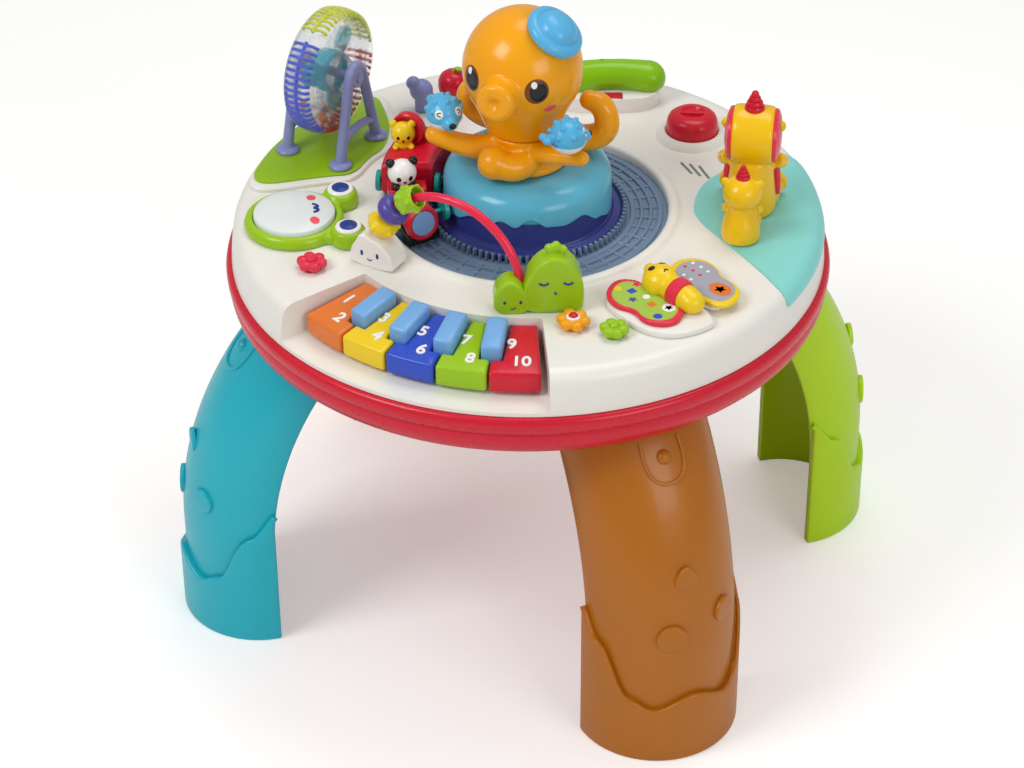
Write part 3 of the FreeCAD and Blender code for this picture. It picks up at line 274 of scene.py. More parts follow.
def finished(mesh, modifiers):
    """Run modifiers on a bmesh and give back the result."""
    spare = bpy.data.meshes.new("spare")
    mesh.to_mesh(spare)
    mesh.free()
    holder = bpy.data.objects.new("spare", spare)
    bpy.context.scene.collection.objects.link(holder)
    for kind, settings in modifiers:
        added = holder.modifiers.new(kind.lower(), kind)
        for name, value in settings.items():
            setattr(added, name, value)
    bpy.context.view_layer.update()
    worked = bpy.data.meshes.new_from_object(holder.evaluated_get(bpy.context.evaluated_depsgraph_get()))
    result = bmesh.new()
    result.from_mesh(worked)
    bpy.data.objects.remove(holder)
    bpy.data.meshes.remove(spare)
    bpy.data.meshes.remove(worked)
    return result


def melded(mesh, voxel=0.9, smooth=6):
    """Flow overlapping shapes into one moulded skin."""
    return finished(mesh, [("REMESH", {"mode": "VOXEL", "voxel_size": voxel}),
                           ("SMOOTH", {"factor": 0.5, "iterations": smooth})])


def add(name, mesh, finish, body="table", swaps=(), crisp=35.0):
    """Make a finished piece that rides on a body and may stand for CAD nodes."""
    mesh.transform(TO_METRES)
    data = bpy.data.meshes.new(name)
    for face in mesh.faces:
        face.smooth = True
    for edge in mesh.edges:
        if len(edge.link_faces) == 2 and edge.calc_face_angle(0) > math.radians(crisp):
            edge.smooth = False
    mesh.to_mesh(data)
    mesh.free()
    made = bpy.data.objects.new(name, data)
    bpy.context.scene.collection.objects.link(made)
    data.materials.append(FINISH[finish])
    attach(made, body)
    if swaps:
        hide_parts(*([swaps] if isinstance(swaps, str) else swaps))
    return made


# ---- tray and top ----
add("tray_bowl", lathe([
    (0, -33), (189, -33), (196, -32.3), (201, -29.8), (204.6, -26), (206.6, -21), (207.4, -16.5),
    (206.6, -13.8), (206.4, -13.0), (207.4, -12.2), (208.6, -9), (208.9, -5.2), (208.2, -2.2), (206.6, -0.6),
    (204.6, -0.2), (202.2, -0.6), (202.8, -8), (203, -22), (199, -28.4), (190, -30), (0, -30)], 192),
    "red", swaps="tray", crisp=50)

shell = lathe([
    (204.7, 0.2), (204.2, 8), (203.2, 17), (202.4, 21.5), (200.9, 25.3), (198.4, 28), (195, 29.6), (191, 30),
    (150, 30), (107.5, 30), (105.6, 30.3), (104.2, 31.4), (102.8, 32.6), (100.6, 33.2), (98.4, 32.9),
    (97, 31.9), (96.5, 30.4), (96.5, 25.7), (6, 25.7), (6, 22.9), (98, 22.9), (100, 27), (192, 27),
    (196, 26), (199, 22), (202, 0.2), (204.7, 0.2)], 192)
START = -117.25
PITCH = 10.9
MIDDLE = START + 2.5 * PITCH


def sector(inner, outer, from_bearing, to_bearing, steps=24):
    """The plan outline of a ring sector."""
    far = [polar(outer, from_bearing + (to_bearing - from_bearing) * i / steps) for i in range(steps + 1)]
    near = [polar(inner, to_bearing + (from_bearing - to_bearing) * i / steps) for i in range(steps + 1)]
    return [(v.x, v.y) for v in far + near]


def carve(mesh, cutter, operation="DIFFERENCE"):
    """Cut or add one closed shape from another."""
    data = bpy.data.meshes.new("cutter")
    cutter.to_mesh(data)
    cutter.free()
    holder = bpy.data.objects.new("cutter", data)
    bpy.context.scene.collection.objects.link(holder)
    result = finished(mesh, [("BOOLEAN", {"object": holder, "operation": operation, "solver": "EXACT"})])
    bpy.data.objects.remove(holder)
    bpy.data.meshes.remove(data)
    return result


half = 2.5 * PITCH + 1.1
for reach, low, high in ((203, 0.3, 18), (201.4, 17, 24), (197, 23, 28)):
    shell = carve(shell, slab(sector(133.2, reach, MIDDLE - half - 2, MIDDLE + half + 2), low, high), "UNION")
shell = carve(shell, slab(sector(136, 214, MIDDLE - half, MIDDLE + half), 3, 45, 2.2, 4))
for station, bearing in ((122.6, 50), (127, 47.8), (131.7, 45.6)):
    shell = carve(shell, slab([(p.x, p.y) for p in (
        polar(station - 1, bearing - 5), polar(station + 1.2, bearing - 5),
        polar(station + 1.2, bearing + 3), polar(station - 1, bearing + 3))], 25, 34))
for station, bearing in ((162.6, -127.8), (148.4, -54.2), (165, -45.9)):
    shell = carve(shell, lathe([(0, 22), (6.3, 22), (6.3, 34), (0, 34)], 32, 360,
                               seat(polar(station, bearing))))
add("top_shell", shell, "ivory", swaps="panel", crisp=40)

PLATEAU = [(124, -171), (124.5, 176), (121.5, 167), (138, 156.5), (163, 151.5), (185, 149), (195, 154),
           (197, 166), (197, 180), (197, -171), (197, -163.5), (186, -161), (160, -164.5), (142, -167.5)]


def rounded(points, times=2):
    """Corner-cut a closed outline until it reads as a curve."""
    for _ in range(times):
        cut = []
        for first, second in zip(points, points[1:] + points[:1]):
            cut.append(tuple(a * 0.75 + b * 0.25 for a, b in zip(first, second)))
            cut.append(tuple(a * 0.25 + b * 0.75 for a, b in zip(first, second)))
        points = cut
    return points


def spots(pairs):
    return [tuple(polar(*pair)[:2]) for pair in pairs]


add("leaf_plateau", slab(rounded(spots(PLATEAU)), 29, 33, 1.4, 3), "ivory")
LEAF = [(126.5, -173), (127, 176), (124.5, 168.5), (140, 158.5), (163, 153.5), (184, 151), (193.5, 156),
        (195.4, 166), (195.4, 180), (195.4, -171), (195, -165.5), (185, -163.2), (160, -166.8), (144, -169.8)]
add("green_leaf", slab(rounded(spots(LEAF)), 33, 34.5, 0.7, 2), "leaf", swaps="leaf_green")
skin = lathe([(106, 30.1), (191, 30.1), (195.2, 29.8), (198.7, 28.2), (201.2, 25.5), (202.7, 21.6),
              (202.9, 20), (204, 20.2), (203.7, 22), (202.2, 26.2), (199.3, 29.2), (195.4, 31), (191, 31.4),
              (106, 31.4), (106, 30.1)], 80, 70, Matrix.Rotation(math.radians(-15), 4, "Z"))
LEAF_TEAL = [(112.8, 22.7), (122, 36), (140, 42), (165, 44.5), (190, 46), (200, 43), (212, 36), (216, 20),
             (212, 0), (208, -8), (196, -8), (182, -5), (160, 0), (138, 6), (120, 14)]
skin = carve(skin, slab(rounded(spots(LEAF_TEAL)), 5, 50), "INTERSECT")
add("teal_leaf", skin, "leaf_teal", swaps="leaf_teal")

CRADLE = [(-40, -13), (-31, -21), (18, -21), (31, -13), (34, 0), (31, 11), (-31, 11), (-40, 2)]
cradle = slab(rounded(CRADLE), 29, 41.8, 2.6, 4, seat((-4, 161, 0), 24.3))
cradle = carve(cradle, slab([(-8.8, -4.3), (8.8, -4.3), (8.8, 4.3), (-8.8, 4.3)], 38, 50, 0, 1,
                            seat((-0.15, 145.2, 0), 24.3)))
add("phone_cradle", cradle, "ivory")
add("phone_button", slab([(-8.5, -4), (8.5, -4), (8.5, 4), (-8.5, 4)], 40.8, 42.2, 0.5, 2,
                         seat((-0.15, 145.2, 0), 24.3)), "red", "phone_key", swaps="phone_key")
add("knob_ring", lathe([(18.9, 30), (18.9, 34.4), (19.6, 35), (21.4, 35), (23.4, 33.6), (25, 31.4),
                        (26, 30), (18.9, 30)], 64, 360, seat(polar(151.6, 63.8))), "ivory")
knob = lathe([(0, 31.2), (18.4, 31.2), (18.5, 38), (18, 42.4), (16.6, 45.6), (13.6, 47.8), (9.6, 48.8),
              (8.8, 48.6), (7.6, 47.2), (0, 46.6)], 64)
knob = gather(knob, slab([(-10, -1.1), (10, -1.1), (10, 1.1), (-10, 1.1)], 46, 48.9, 0.8, 3))
knob.transform(seat(polar(151.6, 63.8), 20))
add("turning_knob", knob, "red", "knob", swaps="knob")

# ---- track, island and dome ----
track = [lathe([(65.4, 25.8), (96.1, 25.8), (96.1, 26.9), (93.2, 27), (92.6, 28.1), (89.8, 28.1),
                (89.2, 26.8), (86.2, 26.8), (85.4, 28.2), (83.8, 28.2), (83.4, 26.6), (79.6, 26.6),
                (79.2, 28.2), (77.6, 28.2), (76.8, 26.8), (74.4, 26.8), (73.6, 28.1), (71, 28.1),
                (70.4, 26.9), (65.4, 26.9), (65.4, 25.8)], 192)]
for number in range(40):
    track.append(slab([(70.8, -1.2), (92.4, -1.2), (92.4, 1.2), (70.8, 1.2)], 26.2, 27.7, 0.4, 1,
                      Matrix.Rotation(math.radians(9 * number), 4, "Z")))
add("track_bed", gather(*track), "slate")
teeth = []
for number in range(90):
    teeth.append(slab([(65.6, -1.3), (68.6, -0.55), (68.6, 0.55), (65.6, 1.3)], 26.8, 32.8, 0.2, 1,
                      Matrix.Rotation(math.radians(4 * number + 2), 4, "Z")))
add("rack_teeth", gather(*teeth), "slate", swaps="track_ring")
add("island_foot", lathe([(6, 25.8), (64.6, 25.8), (65, 27), (65, 29.6), (64.2, 31), (62.6, 31.8),
                          (60.4, 32), (59.6, 32.6), (58.8, 32.6), (58, 32), (56.9, 32.6), (56.2, 34.5),
                          (56.2, 54), (6, 54), (6, 25.8)], 160),
    "navy", swaps="island_base")
WAVES = [(-155, 35), (-140, 36), (-122, 43), (-106, 50), (-94, 47), (-84, 53), (-74, 49), (-64, 56),
         (-52, 49), (-40, 48), (-26, 51), (-10, 42), (8, 36), (25, 35), (50, 38), (75, 46), (100, 40),
         (125, 47), (150, 40), (178, 37), (205, 35)]


def wave_level(bearing):
    """Height of the dome's lower edge at a bearing, eased between the crests."""
    while bearing < -155:
        bearing += 360
    while bearing >= 205:
        bearing -= 360
    for (a, low), (b, high) in zip(WAVES, WAVES[1:]):
        if a <= bearing <= b:
            part = (bearing - a) / (b - a)
            part = part * part * (3 - 2 * part)
            return low + (high - low) * part
    return 35.0


side = [(57.6, 0.0), (57.7, 0.06), (57.8, 0.2), (57.7, 0.5), (57.6, 1.0)]
crown = [(57.2, 58.6), (56, 61.9), (54, 64.9), (51, 67.5), (47.4, 69.2), (43.4, 69.9), (30, 69.9), (6, 69.9),
         (6, 60), (55.6, 56), (56.4, 52)]
dome = lathe([(56.4, 0.0)] + side + crown + [(56.4, 1.0), (56.4, 0.0)], 216)
for vert in dome.verts:
    if vert.co.z <= 1.0001:
        low = wave_level(math.degrees(math.atan2(vert.co.y, vert.co.x)))
        vert.co.z = low + (55 - low) * vert.co.z if vert.co.z < 0.999 or vert.co.xy.length > 57 else 51.0
settle(dome)
add("wave_cap", dome, "sky", swaps="wave_dome", crisp=60)

# ---- legs: bowed C sections with a wavy sleeve, raised shapes and a latch ----
def leg_reach(level):
    """Distance of the section's centre from the table's axis."""
    rise = max(0.0, level + 190)
    return 201 - (233 - math.sqrt(233 ** 2 - rise ** 2))


def channel(radius, levels, top=None, steps=40):
    """An open C-shaped wall grown level by level along the leg's bow."""
    mesh = bmesh.new()
    ring = [mesh.verts.new((radius * math.cos(a), radius * math.sin(a), 0))
            for a in [math.radians(-92 + 184 * i / steps) for i in range(steps + 1)]]
    row = [mesh.edges.new(pair) for pair in zip(ring, ring[1:])]
    for vert in ring:
        vert.co += Vector((leg_reach(levels[0]), 0, levels[0]))
    for step, level in enumerate(levels[1:], 1):
        grown = bmesh.ops.extrude_edge_only(mesh, edges=row)["geom"]
        row = [e for e in grown if isinstance(e, bmesh.types.BMEdge)
               and all(v in grown for v in e.verts) and len(e.link_faces) == 1]
        verts = sorted({v for e in row for v in e.verts}, key=lambda v: v.index)
        for vert in verts:
            before = levels[step - 1]
            across = vert.co.x - leg_reach(before)
            angle = math.degrees(math.atan2(vert.co.y, across))
            share = (level - levels[0]) / (levels[-1] - levels[0])
            height = level if top is None else levels[0] + (top(angle) - levels[0]) * share
            vert.co = Vector((leg_reach(level) + across, vert.co.y, height))
    return mesh


def sleeve_top(angle):
    """The sleeve's wavy upper edge round the leg."""
    knots = [(0, -211), (30, -221), (48, -213), (72, -176), (96, -154), (118, -148)]
    angle = abs(angle)
    for (a, low), (b, high) in zip(knots, knots[1:]):
        if a <= angle <= b:
            part = (angle - a) / (b - a)
            return low + (high - low) * part * part * (3 - 2 * part)
    return -148.0


def on_leg(angle, level, out=0.0, radius=52.6):
    """A point and direction on the leg's outer wall."""
    spread = math.radians(angle)
    spot = Vector((leg_reach(level) + (radius + out) * math.cos(spread),
                   (radius + out) * math.sin(spread), level))
    return spot, Vector((math.cos(spread), math.sin(spread), 0))


def badge(sides, size, angle, level, roll=0.0):
    """A raised rounded shape on the leg."""
    spot, out = on_leg(angle, level, -1.6)
    points = [(size * math.cos(2 * math.pi * i / sides), size * math.sin(2 * math.pi * i / sides))
              for i in range(sides)]
    if sides < 6:
        points = rounded(points)
    return slab(points, 0, 3.6, 1.1, 4, facing(spot, out, roll))


LEGS = (("teal", -140, "leg_teal"), ("brown", -40, "leg_brown"), ("green", 40, "leg_green"),
        ("rear", 140, "leg_orange"))
for colour, bearing, finish in LEGS:
    levels = [-265 + 3 * i for i in range(26)] + [-187 + 7 * i for i in range(22)] + [-33.3]
    wall = channel(52.6, levels)
    wall = finished(wall, [("SOLIDIFY", {"thickness": 3.0, "offset": 1.0}),
                           ("BEVEL", {"width": 0.8, "segments": 3, "limit_method": "ANGLE"})])
    cuff = channel(57, [-265 + 7 * i for i in range(9)], sleeve_top)
    cuff = finished(cuff, [("SOLIDIFY", {"thickness": 5.2, "offset": 1.0}),
                           ("BEVEL", {"width": 1.6, "segments": 4, "limit_method": "ANGLE"})])
    rim = tube([on_leg(a, sleeve_top(a) - 1.2, -0.9, 56.2)[0] for a in range(-91, 92, 7)], 1.6)
    seam = tube([on_leg(a, -256, -0.5, 56.7)[0] for a in range(-91, 92, 13)], 0.7)
    shapes = [wall, cuff, rim, seam]
    for turn, level, sides, size in ((-2, -120, 3, 14.5), (30, -154, 4, 13), (-16, -162, 32, 10.5)):
        shapes.append(badge(sides, size, turn, level, 90))
    latch = [on_leg(a, z, 0.3)[0] for a, z in ((-15, -38), (-15, -50), (-11, -58), (0, -61), (11, -58),
                                               (15, -50), (15, -38))]
    shapes.append(tube(latch, 1.3))
    shapes.append(ball(5.5, facing(on_leg(0, -48, -2.5)[0], on_leg(0, -48)[1])))
    whole = gather(*shapes)
    whole.transform(Matrix.Rotation(math.radians(bearing), 4, "Z"))
    add("leg_" + colour + "_shell", whole, finish, swaps="leg_" + colour)

# ---- piano keys and sharps with plain numbers ----
def figure(text, height, matrix):
    """A raised number."""
    curve = bpy.data.curves.new("figure", "FONT")
    curve.body = text
    curve.size = height
    curve.align_x = "CENTER"
    curve.align_y = "CENTER"
    curve.extrude = 0.35
    curve.bevel_depth = 0.25
    curve.offset = 0.1
    holder = bpy.data.objects.new("figure", curve)
    made = bpy.data.meshes.new_from_object(holder)
    mesh = bmesh.new()
    mesh.from_mesh(made)
    bpy.data.objects.remove(holder)
    bpy.data.curves.remove(curve)
    bpy.data.meshes.remove(made)
    mesh.transform(matrix)
    return mesh


for number, finish in enumerate(("orange", "yellow", "blue", "lime", "red")):
    centre = START + PITCH * (number + 0.5)
    half = (PITCH - 0.4) / 2
    points = sector(136.6, 186.8, -half, half, 10)
    block = slab(points, 5.6, 26, 0)
    for side in (-1, 1):
        if (number == 0 and side < 0) or (number == 4 and side > 0):
            continue
        away = Matrix.Rotation(math.radians(side * PITCH / 2), 4, "Z")
        block = carve(block, slab([(130, -7.9), (172.4, -7.9), (172.4, 7.9), (130, 7.9)], 0, 40, 0, 1, away))
    for vert in block.verts:
        run = (vert.co.xy.length - 136.6) / 50.2
        if vert.co.z > 20:
            vert.co.z = 25.8 - 4.9 * run
        else:
            vert.co.z = 3.8 + 1.9 * run
    settle(block)
    bmesh.ops.dissolve_limit(block, angle_limit=math.radians(1), verts=block.verts, edges=block.edges)
    block = finished(block, [("BEVEL", {"width": 2.2, "segments": 4, "limit_method": "ANGLE",
                                        "use_clamp_overlap": False})])
    block.transform(Matrix.Rotation(math.radians(centre), 4, "Z"))
    body = "key_%d" % (number + 1)
    add("piano_" + body, block, finish, body, swaps=body)
    for which, station, aside in ((2 * number + 1, 157.6, -2.4 if number == 0 else -1.2),
                                  (2 * number + 2, 174.5, 1.2)):
        spot = polar(station, centre + aside, 25.9 - 4.9 * (station - 136.6) / 50.2)
        tilt = Matrix.Rotation(math.radians(centre + 90), 4, "Z") @ Matrix.Rotation(math.radians(5.5), 4, "X")
        add("number_%d" % which, figure(str(which), 13, Matrix.Translation(spot) @ tilt), "white", body)
for number in range(4):
    block = slab([(139.2, -6.9), (170.8, -6.9), (170.8, 6.9), (139.2, 6.9)], 4.6, 33.6, 0)
    for vert in block.verts:
        if vert.co.z > 20:
            vert.co.z = 33.6 - 3.4 * (vert.co.x - 139.2) / 31.6
    block = finished(block, [("BEVEL", {"width": 2.6, "segments": 5, "limit_method": "ANGLE"})])
    block.transform(Matrix.Rotation(math.radians(START + PITCH * (number + 1)), 4, "Z"))
    body = "sharp_%d" % (number + 1)
    add("piano_" + body, block, "sharp", body, swaps=body)

# ---- prints that follow a piece's surface ----
def skin(made):
    """A lookup of a finished piece's surface, in the helpers' millimetres."""
    back = TO_METRES.inverted()
    return BVHTree.FromPolygons([back @ v.co for v in made.data.vertices],
                                [p.vertices[:] for p in made.data.polygons])


def oval(wide, tall, steps=32):
    """The outline of an ellipse."""
    turns = [2 * math.pi * i / steps for i in range(steps)]
    return [(wide / 2 * math.cos(a), tall / 2 * math.sin(a)) for a in turns]


def printed(name, surface, spot, out, points, finish, body="table", roll=0.0, lift=0.2):
    """Paint an outline on a surface: a thin skin dropped onto it along a direction."""
    out = Vector(out).normalized()
    place = facing(Vector(spot) + out * 9, out, roll)
    mesh = bmesh.new()
    rings = []
    for share, rise in ((1.0, -0.3), (1.0, lift * 0.6), (0.96, lift), (0.72, lift), (0.4, lift)):
        ring = []
        for x, y in points:
            start = place @ Vector((x * share, y * share, 0))
            hit = surface.ray_cast(start, -out, 30)[0]
            ring.append(mesh.verts.new((hit if hit else start - out * 9) + out * rise))
        rings.append(ring)
    count = len(points)
    for lower, upper in zip(rings, rings[1:]):
        for i in range(count):
            mesh.faces.new((lower[i], lower[(i + 1) % count], upper[(i + 1) % count], upper[i]))
    mesh.faces.new(rings[-1])
    mesh.faces.new(rings[0][::-1])
    bmesh.ops.recalc_face_normals(mesh, faces=mesh.faces)
    return add(name, mesh, finish, body, crisp=60)


def drawn(name, surface, spot, out, lines, finish, body="table", width=0.5, roll=0.0):
    """Thin raised strokes that follow a surface."""
    out = Vector(out).normalized()
    place = facing(Vector(spot) + out * 9, out, roll)
    strokes = []
    for line in lines:
        dropped = []
        for x, y in line:
            start = place @ Vector((x, y, 0))
            hit = surface.ray_cast(start, -out, 30)[0]
            dropped.append((hit if hit else start - out * 9) + out * 0.08)
        strokes.append(tube(dropped, width, fine=6))
    return add(name, gather(*strokes), finish, body)


def bump(radius, spot, stretch=(1, 1, 1), fine=24):
    return ball(radius, Matrix.Translation(spot), stretch, fine)


# ---- octopus: body with arms, head, cap and two fish, all turning together ----
LEAN = Vector((-2.9, -1.3, 0))
HEAD = Vector((0, 0, 140)) + LEAN


def brow(azimuth, rise, extra=0.0):
    """A point on the head's ovoid and the direction out of it."""
    a, b = math.radians(azimuth), math.radians(rise)
    unit = Vector((math.cos(a) * math.cos(b), math.sin(a) * math.cos(b), math.sin(b)))
    out = Vector((unit.x / 40.5, unit.y / 40.5, unit.z / 42)).normalized()
    return HEAD + Vector((unit.x * 40.5, unit.y * 40.5, unit.z * 42)) + out * extra, out


ARMS = [
    ([(-14, -16, 84), (-28, -27, 86.5), (-42, -31, 89.5), (-54, -32.5, 92.5)], 7.2, (1.35, 1.15, 1.0, 0.92)),
    ([(14, -16, 86), (25, -25, 91.5), (38, -27.5, 94.5), (52, -28, 97)], 5.6, (1.6, 1.1, 1.0, 0.95)),
    ([(9, -14, 84), (7, -28, 80), (-1, -35, 81.5), (-7.5, -37, 83.9)], 9.6, (1.1, 1.0, 1.0, 1.05)),
    ([(13, 14, 82), (30, 22, 80.5), (44, 26, 86), (46.5, 27, 97), (41, 27, 107), (34, 26, 109)], 8.6,
     (1.2, 1.1, 1.05, 1.0, 0.95, 0.8)),
    ([(-13, 14, 82), (-30, 20, 82), (-45, 17, 87), (-50, 13, 97), (-46, 11, 107), (-40, 11, 110)], 8.4,
     (1.2, 1.1, 1.05, 1.0, 0.95, 0.8)),
]
shapes = [lathe([(0, 70.4), (28, 70.4), (29.6, 71.2), (30, 73), (29.2, 75.2), (27.2, 76.6), (25.8, 80),
                 (24.8, 86), (25, 91), (25.8, 94.2), (25, 95.4), (0, 95.4)], 96,
                matrix=Matrix.Translation(LEAN * 0.5))]
for line, width, fat in ARMS:
    shapes.append(tube([Vector(p) for p in line], width, fat, fine=16))
    shapes.append(bump(width * fat[-1], line[-1]))
shapes.append(bump(11.4, (-7.8, -37.2, 83.9)))
add("octopus_skirt", melded(gather(*shapes), 1.1, 8), "amber", "octopus", swaps="octopus_body")
profile = [(0, 95.6), (24.4, 95.6), (25.4, 96.6), (26.2, 99), (27.8, 103), (29.8, 108), (32, 113), (34.8, 118.5)]
profile += [(40.5 * math.cos(math.radians(a)), 140 + 42 * math.sin(math.radians(a)))
            for a in [-27 + 117 * i / 26 for i in range(26)]] + [(0, 182)]
head = gather(lathe(profile, 128, matrix=Matrix.Translation(LEAN)),
              lathe([(0, -6), (15.4, -6), (15, 4), (13.8, 9), (13.2, 13), (13.5, 17), (12.8, 19.6), (10.6, 21.2),
                     (7.2, 21.6), (4.2, 20.6), (2.2, 18.4), (0, 17.6)], 64,
                    matrix=facing(Vector((-1, -34, 138.2)), (0.07, -1, 0.07))))
head = add("octopus_face", melded(head, 1.1, 5), "amber", "octopus", swaps="octopus_head")
surface = skin(head)
for word, azimuth, rise in (("left", -123, 5.3), ("right", -52, 4.3)):
    side = -1 if word == "left" else 1
    spot, out = brow(azimuth, rise)
    printed("eye_ring_" + word, surface, spot, out, oval(16.6, 17.8), "iris", "octopus")
    spot, out = brow(azimuth + 1.6, rise - 0.6)
    printed("eye_pupil_" + word, surface, spot, out, oval(12.2, 13.6), "black", "octopus", lift=0.34)
    spot, out = brow(azimuth - 2.5, rise + 6.6)
    printed("eye_glint_" + word, surface, spot, out, oval(4.2, 5), "white", "octopus", lift=0.48)
    spot, out = brow(-87.5 + side * 50, -16.6)
    printed("cheek_" + word, surface, spot, out, oval(9.4, 5), "pink", "octopus", roll=8 * side)
spot, out = brow(-6, 52)
cap = lathe([(0, -6), (11, -5.4), (17.4, -3.4), (19.9, -1.4), (20.4, 0.8), (19.6, 3), (17.8, 4.4), (15.4, 5),
             (14.6, 4.9), (14.1, 5.1), (13.6, 6.4), (12, 9), (9, 11.2), (5, 12.4), (0, 12.8)], 80,
            matrix=facing(spot + Vector((0, -1, 0)), (0.577, -0.03, 0.815)))
add("octopus_hat", cap, "cap", "octopus", swaps="octopus_cap")


def fish(word, centre, face):
    """A puffer fish: blue back with bumps, white belly, snout, tail and shut eyes."""
    place = seat(Vector(centre), face)
    shapes = [ball(12.4, None, (1, 1, 0.95)), bump(5.6, (10.6, 0, -3), (1.1, 1, 0.9)),
              tube([Vector((-9, 0, 0)), Vector((-15, 0, 1.4))], 3.2),
              bump(3.4, (-17, 2.6, 2), (0.9, 1.1, 0.8)), bump(3.4, (-17, -2.6, 2), (0.9, 1.1, 0.8))]
    for azimuth, rise in ((0, 62), (70, 55), (140, 50), (-140, 50), (-70, 55), (100, 22), (-100, 22), (180, 75),
                          (60, 24), (-60, 24), (150, 18), (-150, 18)):
        a, b = math.radians(azimuth), math.radians(rise)
        shapes.append(bump(1.9, (12.6 * math.cos(a) * math.cos(b), 12.6 * math.sin(a) * math.cos(b),
                                 12 * math.sin(b))))
    whole = melded(gather(*shapes), 0.6, 3)
    whole.transform(place)
    whole = add("fish_%s_back" % word, whole, "fish", "octopus", swaps="fish_" + word)
    belly = [(0, -12.9)] + [(12.9 * math.cos(math.radians(a)), 12.25 * math.sin(math.radians(a)))
                            for a in range(-84, -17, 6)] + [(11.6, -3.8), (0, -4.4)]
    add("fish_%s_belly" % word, lathe(belly, 64, matrix=place), "white", "octopus")
    skin_of = skin(whole)
    turn = Matrix.Rotation(math.radians(face), 4, "Z")
    for side in (-1, 1):
        out = turn @ Vector((0.74, side * 0.56, 0.34))
        spot = place @ Vector((9.2, side * 7, 4.2))
        printed("fish_%s_eye_%d" % (word, side + 1), skin_of, spot, out, oval(5.8, 6.2), "white", "octopus")
        drawn("fish_%s_lid_%d" % (word, side + 1), skin_of, spot + out * 0.25, out,
              [[(side * -1.4, 1.5), (side * 1.2, 0), (side * -1.4, -1.5)]], "black", "octopus", 0.42)
    nose = bump(2.5, (16.2, 0, -2.4), (0.6, 1, 0.9))
    nose.transform(place)
    add("fish_%s_nose" % word, nose, "black", "octopus")


fish("left", (-44.5, -36.6, 114.2), -44)
fish("right", (44.9, -34.5, 116.4), 52)

# ---- train ----
TRACK = 82.5


def curved(inner, outer, low, high, start, stop, bevel=1.2, steps=3):
    """A block that follows the track."""
    return slab(sector(inner, outer, start, stop, 16), low, high, bevel, steps)


def along_track(bearing, level, offset=0.0):
    """A point on the track's middle line and the way the train faces there."""
    way = Vector((-math.sin(math.radians(bearing)), math.cos(math.radians(bearing)), 0))
    return polar(TRACK + offset, bearing, level), way


base = [curved(70.5, 94.5, 33.8, 38.9, -170, -124.5, 1.2), curved(71.5, 93.5, 33.8, 38.9, -198, -169, 1.2),
        curved(70.8, 94.2, 29.2, 37, -129.5, -123.6, 1.4)]
for step in range(5):
    spot, way = along_track(-123.4, 33.6, -8 + 4 * step)
    base.append(slab([(-0.6, -2.6), (0.6, -2.6), (0.6, 2.6), (-0.6, 2.6)], -0.6, 0.5, 0.2, 1, facing(spot, way)))
for start, stop in ((-135, -125), (171, 185)):
    base.append(curved(79.9, 83.3, 26.9, 35, start, stop, 0.4, 1))
add("train_floor", gather(*base), "black", "train", swaps="train_base")
spot, way = along_track(-124, 45.2, 1)
nose_way = way + Vector((0, 0, 0.16))
back, _ = along_track(-146, 45.2)
loco = [lathe([(0, -26), (10, -26), (11, -24), (11.2, -2), (0, -2)], 64, matrix=facing(spot, spot - back)),
        curved(72.5, 93, 38.8, 47, -153, -126, 2.6, 4), curved(69.5, 96, 38.8, 53.5, -155, -144.5, 2.6, 4)]
loco = melded(gather(*loco), 0.8, 4)
add("train_engine", loco, "red", "train", swaps="train_cars")
add("engine_face", lathe([(0, -3.4), (11, -3.4), (12.2, -2), (12.4, 0.4), (11.6, 2), (10, 2.6), (8.9, 1.7), (0, 1.7)],
                         64, matrix=facing(spot, nose_way)), "red", "train")
add("engine_lamp", lathe([(0, 1.2), (8.7, 1.2), (8.7, 2), (8.2, 2.5), (0, 3)], 48, matrix=facing(spot, nose_way)),
    "lamp", "train")
wagon = [curved(64.8, 100.4, 38.8, 60, -192, -158.2, 3.0, 4), curved(66.5, 98.6, 56, 63, -191, -159.2, 3.0, 4),
         curved(78.5, 86.5, 39, 43, -160, -152, 0.8, 2)]
add("train_wagon", melded(gather(*wagon), 0.9, 4), "red", "train")
spot, way = along_track(-178.5, 73, 6)
hood = gather(lathe([(0, -3), (11, -3), (12, -2), (12, 2.6), (11, 3.4), (9.8, 3.4), (9.4, 1.4), (0, 1.4)], 56,
                    matrix=facing(spot, way)),
              curved(76.6, 100.4, 60, 73, -183.2, -179.6, 1.2))
add("wagon_hood", hood, "red", "train")
for word, bearing in (("front", -131), ("middle", -162), ("rear", 166)):
    out = Vector(polar(1, bearing))
    centre = polar(TRACK, bearing, 45)
    disc = [(0, 0), (7.5, 0), (7.5, 2.6), (6.8, 3.4), (5.4, 3.4), (4.8, 2.7), (2.6, 2.7), (2.2, 3.4), (0, 3.6)]
    wheels = [lathe([(0, -21), (1.45, -21), (1.45, 21), (0, 21)], 24, matrix=facing(centre, out))]
    for side in (-1, 1):
        aim = out * side
        wheels.append(lathe(disc, 48, matrix=facing(centre + aim * 18.6, aim)))
        for number in range(4):
            a = math.radians(45 + 90 * number)
            wheels.append(bump(0.9, (0, 0, 0)))
            wheels[-1].transform(facing(centre + aim * 21.6, aim) @ Matrix.Translation(
                (3.9 * math.cos(a), 3.9 * math.sin(a), 0)))
    add("wheels_" + word, gather(*wheels), "teal", "wheel_set_" + word, swaps="wheel_set_" + word)
cogs = []
for number in range(10):
    cogs.append(slab([(4.6, -1.5), (8.4, -0.7), (8.4, 0.7), (4.6, 1.5)], 29.8, 32.6, 0.25, 1,
                     seat(polar(75.15, -148), -148 + 198 + 36 * number)))
cogs.append(lathe([(0, 29.7), (6, 29.7), (6, 32.8), (2, 32.8), (2, 38), (0, 38)], 40,
                  matrix=seat(polar(75.15, -148))))
